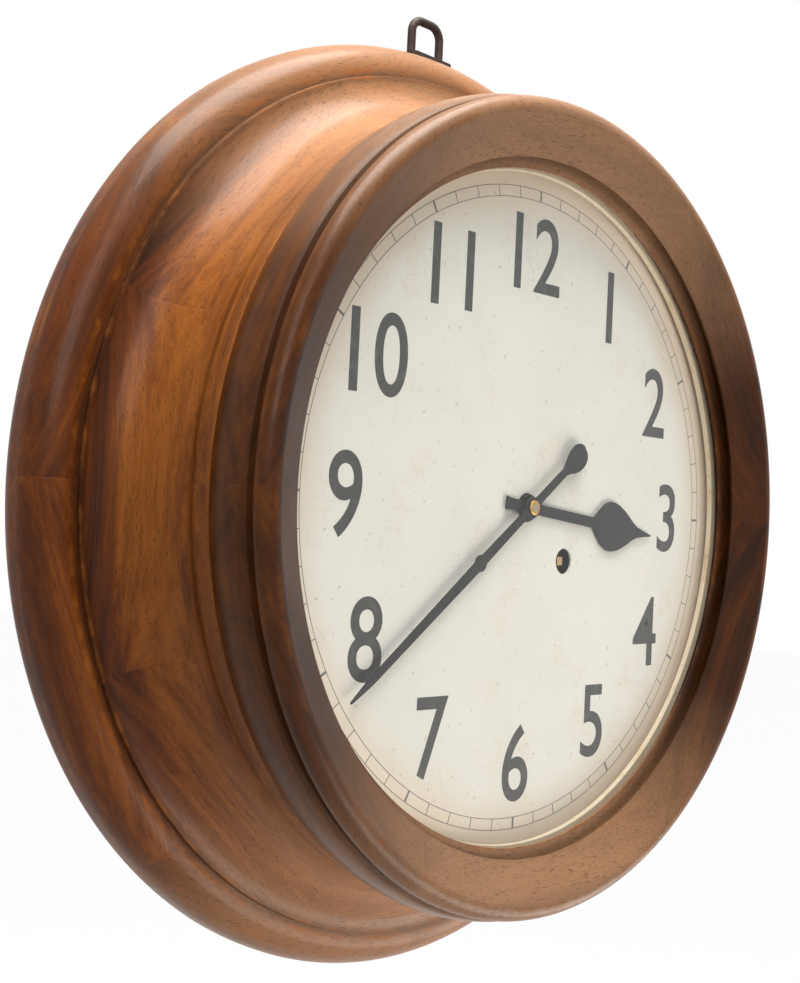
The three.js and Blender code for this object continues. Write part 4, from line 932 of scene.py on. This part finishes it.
@dataclass
class Dial:
    """The painted sheet dial with its numbers, minute ring and screws."""

    radius: float = 160.0
    front: float = 85.0
    sheet: float = 1.0
    skirt_back: float = 79.3
    hand_hole: float = 6.6
    winding: Pair = (29.349, -23.766)
    winding_hole: float = 6.0
    paint: float = 0.06
    number_ring: float = 115.0
    number_height: float = 34.5
    number_slim: float = 0.88
    number_weight: float = 0.008
    track: Pair = (139.0, 144.0)
    track_line: float = 0.3
    mark_length: float = 4.8
    hour_mark: float = 1.1
    minute_mark: float = 0.4
    screw_ring: float = 157.5
    screw_angles: tuple[float, ...] = (90.0, 210.0, 330.0)
    screw_hole: float = 1.5
    screw_seat: float = 85.3
    shank_radius: float = 1.2
    shank_length: float = 5.0
    slot_turn: float = 40.0
    head: SlottedHead = SlottedHead(2.3, 1.0, 0.6, 0.5)

    def plate(self) -> None:
        """Cuts the plate with its holes and turns its edge back."""
        mesh = bmesh.new()
        holes = [(0.0, 0.0, self.hand_hole), (*self.winding, self.winding_hole)]
        for angle in self.screw_angles:
            place = at(self.screw_ring, angle, 0.0) / MM
            holes.append((place.x, place.z, self.screw_hole))
        for x, y, size in [(0.0, 0.0, self.radius), *holes]:
            sides, middle = 192 if size == self.radius else 40, Matrix.Translation((x * MM, y * MM, 0))
            bmesh.ops.create_circle(mesh, cap_ends=False, segments=sides, radius=size * MM, matrix=middle)
        rim = [e for e in mesh.edges if e.verts[0].co.length > 0.999 * self.radius * MM]
        bmesh.ops.triangle_fill(mesh, use_beauty=True, edges=list(mesh.edges))
        skirt = picked(bmesh.ops.extrude_edge_only(mesh, edges=rim)["geom"], BMVert)
        bmesh.ops.translate(mesh, vec=(0, 0, -(self.front - self.skirt_back) * MM), verts=skirt)
        bmesh.ops.recalc_face_normals(mesh, faces=mesh.faces)
        if sum(f.normal.z * f.calc_area() for f in mesh.faces) < 0:
            bmesh.ops.reverse_faces(mesh, faces=mesh.faces)
        bmesh.ops.solidify(mesh, geom=list(mesh.faces), thickness=self.sheet * MM)
        stand = Matrix.Translation((0, -self.front * MM, 0)) @ STOOD_UP
        add_piece("painted_dial", placed(mesh, stand), DIAL_WHITE, Body.CASE, ["dial_plate"])

    def number(self, hour: int) -> Mesh:
        """Writes one number upright at its place.

        Args:
            hour: The hour, 1 to 12.

        Returns:
            Its closed mesh.
        """
        text = bpy.data.curves.new(f"number_{hour}", "FONT")
        text.body = str(hour)
        text.align_x, text.align_y = "CENTER", "CENTER"
        text.size = 1.0
        text.extrude = 0.5
        text.offset = self.number_weight
        carrier = linked("carrier", text)
        data = bpy.data.meshes.new_from_object(carrier.evaluated_get(bpy.context.evaluated_depsgraph_get()))
        bpy.data.objects.remove(carrier)
        mesh = bmesh.new()
        mesh.from_mesh(data)
        bpy.data.meshes.remove(data)
        bmesh.ops.remove_doubles(mesh, verts=mesh.verts, dist=1e-5)
        xs, ys = ([v.co[axis] for v in mesh.verts] for axis in (0, 1))
        middle = (-(min(xs) + max(xs)) / 2, -(min(ys) + max(ys)) / 2, 0)
        bmesh.ops.translate(mesh, vec=middle, verts=mesh.verts)
        tall = self.number_height * MM / (max(ys) - min(ys))
        bmesh.ops.scale(mesh, vec=(tall * self.number_slim, tall, self.paint * MM), verts=mesh.verts)
        stand = Matrix.Translation(at(self.number_ring, 30 * hour, self.front + self.paint / 2))
        return placed(mesh, stand @ STOOD_UP)

    def minute_ring(self) -> None:
        """Draws the fine minute ring."""
        top = self.front + self.paint
        meshes = [flat_ring(radius, radius + self.track_line, self.front, top, 240) for radius in self.track]
        middle = Vector((0, -self.front - self.paint / 2, (sum(self.track) + self.track_line) / 2)) * MM
        for minute in range(60):
            mark = bmesh.new()
            wide = self.minute_mark if minute % 5 else self.hour_mark
            turn = Matrix.Rotation(math.radians(6 * minute), 4, "Y")
            size = Matrix.Diagonal((wide, self.paint, self.mark_length, 1.0))
            bmesh.ops.create_cube(mark, size=MM, matrix=turn @ Matrix.Translation(middle) @ size)
            meshes.append(mark)
        add_piece("minute_ring", joined(meshes), TRACK_GREY, Body.CASE)

    def screws(self) -> None:
        """Sets the three dial screws."""
        radius, long = self.shank_radius * MM, self.shank_length
        for number, angle in enumerate(self.screw_angles, 1):
            seat = at(self.screw_ring, angle, self.screw_seat)
            head = self.head.made(seat, FORWARD, self.slot_turn * number)
            shank = bmesh.new()
            bmesh.ops.create_cone(
                shank, cap_ends=True, segments=20, radius1=radius, radius2=radius, depth=long * MM,
                matrix=Matrix.Translation(at(self.screw_ring, angle, self.screw_seat - long / 2)) @ STOOD_UP,
            )
            name = f"slotted_dial_screw_{number}"
            add_piece(name, joined([head, shank]), BRASS, Body.CASE, [f"dial_screw_{number}"])

    def build(self) -> None:
        """Builds all of the dial."""
        self.plate()
        numbers = joined([self.number(hour) for hour in range(1, 13)])
        add_piece("dial_numbers", numbers, NUMBER_BLACK, Body.CASE)
        self.minute_ring()
        self.screws()


@dataclass
class Hand:
    """A flat hand with bevelled edges: blade, eye and tail.

    The half outlines are shares, along the hand of its length and across it of its eye's radius.
    """

    name: str
    node: str
    body: Body
    angle: float
    back: float
    front: float
    eye: float
    bore: float
    length: float
    blade: tuple[Pair, ...]
    tail_length: float
    tail: tuple[Pair, ...]
    edge_bevel: float = 0.3

    def blank(self) -> Mesh:
        """Saws the flat hand out of sheet, bored for its pipe.

        Returns:
            The closed mesh, lying on its back.
        """
        mesh = bmesh.new()
        turns = [math.radians(a) for a in range(60, -61, -12)]
        half = [
            (0.0, self.length),
            *((across * self.eye, along * self.length) for along, across in reversed(self.blade)),
            *((self.eye * math.cos(a), self.eye * math.sin(a)) for a in turns),
            *((across * self.eye, -along * self.tail_length) for along, across in self.tail),
            (0.0, -self.tail[-1][0] * self.tail_length),
        ]
        right = [mesh.verts.new((x * MM, y * MM, 0)) for x, y in half]
        left = [mesh.verts.new((-x * MM, y * MM, 0)) for x, y in half if x > 0]
        loop = right + left[::-1]
        edges = [mesh.edges.new(pair) for pair in zip(loop, loop[1:] + loop[:1])]
        hole = bmesh.ops.create_circle(mesh, cap_ends=False, segments=36, radius=self.bore * MM)
        edges += list(dict.fromkeys(e for v in hole["verts"] for e in v.link_edges))  # in a fixed order
        bmesh.ops.triangle_fill(mesh, use_beauty=True, edges=edges)
        bmesh.ops.dissolve_limit(mesh, angle_limit=0.01, verts=mesh.verts, edges=mesh.edges)
        out = bmesh.ops.extrude_face_region(mesh, geom=list(mesh.faces))
        top = picked(out["geom"], BMVert)
        bmesh.ops.translate(mesh, vec=(0, 0, (self.front - self.back) * MM), verts=top)
        bmesh.ops.recalc_face_normals(mesh, faces=mesh.faces)
        return mesh

    def build(self) -> None:
        """Cuts the hand, bevels it and sets it to its place."""
        mesh = self.blank()
        square, middle = 1.2, 0.5 * (self.front - self.back) * MM
        sharp = [e for e in mesh.edges if len(e.link_faces) == 2 and e.calc_face_angle() > square]
        upper = [e for e in sharp if e.verts[0].co.z > middle and e.verts[1].co.z > middle]
        rounded(mesh, upper, self.edge_bevel)
        turn = Matrix.Rotation(math.radians(self.angle), 4, "Y")
        stand = turn @ Matrix.Translation((0, -self.back * MM, 0)) @ STOOD_UP
        add_piece(self.name, placed(mesh, stand), HAND_BLACK, self.body, [self.node])


HOUR_HAND = Hand(
    "spade_hour_hand", "hour_hand", Body.HOUR, angle=95.5, back=86.0, front=86.8, eye=6.0, bore=5.0,
    length=100.0,
    blade=(
        (0.08, 0.42), (0.5, 0.42), (0.54, 1.1), (0.58, 1.68), (0.62, 1.98), (0.66, 2.0), (0.7, 1.88),
        (0.745, 1.58), (0.79, 1.18), (0.83, 0.76), (0.87, 0.45), (0.93, 0.24), (0.99, 0.08),
    ),
    tail_length=100.0, tail=((0.1, 0.42), (0.165, 0.5)),
)
MINUTE_HAND = Hand(
    "long_minute_hand", "minute_hand", Body.MINUTE, angle=233.0, back=87.8, front=88.6, eye=5.0, bore=3.6,
    length=137.0,
    blade=((0.07, 0.42), (0.29, 0.48), (0.305, 0.74), (0.32, 0.74), (0.335, 0.5), (0.9, 0.34), (0.995, 0.1)),
    tail_length=49.0,
    tail=(
        (0.12, 0.42), (0.6, 0.4), (0.66, 0.62), (0.72, 0.95), (0.79, 1.18), (0.86, 1.24), (0.92, 1.12),
        (0.965, 0.84), (0.99, 0.44),
    ),
)


@dataclass
class Collet:
    """The turned brass nut that holds the hands."""

    bore: float = 1.5
    radius: float = 3.4
    back: float = 89.2
    front: float = 90.2
    shoulder: Arc = Arc((2.4, 89.7), (1.0, 0.5), (0, 90), 6)

    def build(self) -> None:
        """Turns the collet with its rounded front."""
        turning = Turning(64).to(self.bore, self.back).to(self.radius, self.back)
        turning.to(self.radius, self.shoulder.centre[1]).round(self.shoulder).to(self.bore, self.front)
        add_piece("hand_collet", turning.spun(), BRASS, Body.CENTRE, ["hand_nut"])


class Works(Enum):
    """The metals of the frame's own pieces, by their material slot."""

    BRASS = "brass"
    STEEL = "steel"

    def metal(self, node: str) -> Metal:
        """Picks the metal of a node; the hinge outside is of older brass."""
        return STEEL if self is Works.STEEL else BRASS if node.startswith("hinge") else WORK_BRASS


class Movement:
    """The wheelwork, hinge and catch, whose solids are kept as they are."""

    def build(self) -> None:
        """Gives each kept node its metal."""
        for name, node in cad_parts.items():
            for place in node.material_slots:
                slot = place.material.name.split(".")[0]
                if slot in [kind.value for kind in Works]:
                    place.material = Works(slot).metal(name).material()
                    LOG.info("finish %s: %s", name, slot)


# ---- The studio ----


@dataclass
class Studio:
    """The pale floor, the lamps and the camera at the photograph's angle.

    The camera's distance and aim are in units of the dial opening's radius.
    """

    azimuth: float = 52.4228
    elevation: float = -1.3979
    roll: float = 2.7818
    distance: float = 4.17948
    aim_across: float = -0.4326
    aim_up: float = 0.0298
    unit: float = 150.0
    dial_level: float = 94.5
    lens: float = 51.03
    sensor: float = 36.0
    floor_height: float = -0.75
    floor_half: float = 9.0
    floor_colour: Colour = (0.5, 0.49, 0.48, 1.0)
    floor_glow: float = 1.1
    floor_share: float = 0.88
    room_light: float = 0.1
    lamp_aim: Triple = (0.0, -0.05, 0.0)

    def camera(self) -> None:
        """Stands the camera where the photograph was taken from."""
        a, e, r = (math.radians(v) for v in (self.azimuth, self.elevation, self.roll))
        middle = Vector((0, -self.dial_level, 0)) * MM
        eye = Vector((-math.sin(a) * math.cos(e), -math.cos(a) * math.cos(e), math.sin(e))) * self.distance
        aim = Vector((self.aim_across * math.cos(a), -self.aim_across * math.sin(a), self.aim_up))
        ahead = (aim - eye).normalized()
        side = ahead.cross(UP).normalized()
        over = side.cross(ahead)
        right = math.cos(r) * side + math.sin(r) * over
        up = math.cos(r) * over - math.sin(r) * side
        data = bpy.data.cameras.new("camera")
        data.lens = self.lens
        data.sensor_width = self.sensor
        camera = linked("camera", data)
        turn = Matrix((right, up, -ahead)).transposed().to_4x4()
        camera.matrix_world = Matrix.Translation(eye * self.unit * MM + middle) @ turn
        bpy.context.scene.camera = camera

    def seen_white(self, r: Recipe) -> Wire:
        """Gives 1 for what the camera, a mirror or the glass sees, and 0 for light."""
        kinds = ("Is Camera Ray", "Is Glossy Ray", "Is Transmission Ray")
        return r.most([r.node("LightPath", output=kind) for kind in kinds])

    def sky(self) -> None:
        """Fills the room with even light and shows it white."""
        world = bpy.data.worlds.new("room")
        r = Recipe(world)
        strength = self.room_light + self.seen_white(r) * (1.0 - self.room_light)
        light = r.node("Background", inputs={"Color": (1.0, 1.0, 1.0, 1.0), "Strength": strength})
        r.close(light, "World")
        bpy.context.scene.world = world

    def floor(self) -> None:
        """Lays the pale floor, which keeps the clock's shadow."""
        mesh = bmesh.new()
        place = Matrix.Translation((0, 0, self.floor_height))
        bmesh.ops.create_grid(mesh, x_segments=2, y_segments=2, size=self.floor_half, matrix=place)
        data = kept("floor", mesh)
        data.materials.append(bpy.data.materials.new("pale_floor"))
        r = Recipe(data.materials[0])
        lit = r.node("BsdfDiffuse", inputs={"Color": self.floor_colour})
        glow = {"Color": (1.0, 1.0, 1.0, 1.0), "Strength": self.floor_glow}
        white = r.node("Emission", inputs=glow)
        share = self.seen_white(r) * self.floor_share
        r.close(r.node("MixShader", inputs={0: share, 1: lit, 2: white}))
        linked("floor", data)

    def lamps(self) -> None:
        """Hangs the soft lamps, in metres and watts: one above, a weak one at the left, one below."""
        warm, plain = rgb(255, 246, 236), rgb(255, 253, 250)
        for name, place, size, watts, tint in (
            ("overhead", (-0.05, -0.3, 1.45), (1.3, 1.0), 54.0, plain),
            ("front", (-1.25, -1.2, 0.9), (1.0, 1.0), 13.0, plain),
            ("below", (0.42, -0.5, -0.72), (1.0, 0.8), 13.0, warm),
        ):
            data = bpy.data.lights.new(name, "AREA")
            data.shape = "RECTANGLE"
            data.size, data.size_y = size
            data.energy = watts
            data.color = tint[:3]
            lamp = linked(name, data)
            lamp.location = place
            lamp.rotation_mode = "QUATERNION"
            lamp.rotation_quaternion = (Vector(self.lamp_aim) - Vector(place)).to_track_quat("-Z", "Y")

    def build(self) -> None:
        """Sets up everything round the clock."""
        bpy.context.scene.view_settings.view_transform = "Standard"
        self.camera()
        self.sky()
        self.floor()
        self.lamps()


def main() -> None:
    """Builds the clock in order, then the studio."""
    logging.basicConfig(level=logging.INFO, format="%(message)s")
    hands = HOUR_HAND, MINUTE_HAND, Collet()
    for part in (DrumCase(), HangingLoop(), Bezel(), HingeScrews(), Dial(), *hands, Movement(), Studio()):
        LOG.info("building %s", type(part).__name__)
        part.build()


if __name__ == "__main__":
    main()
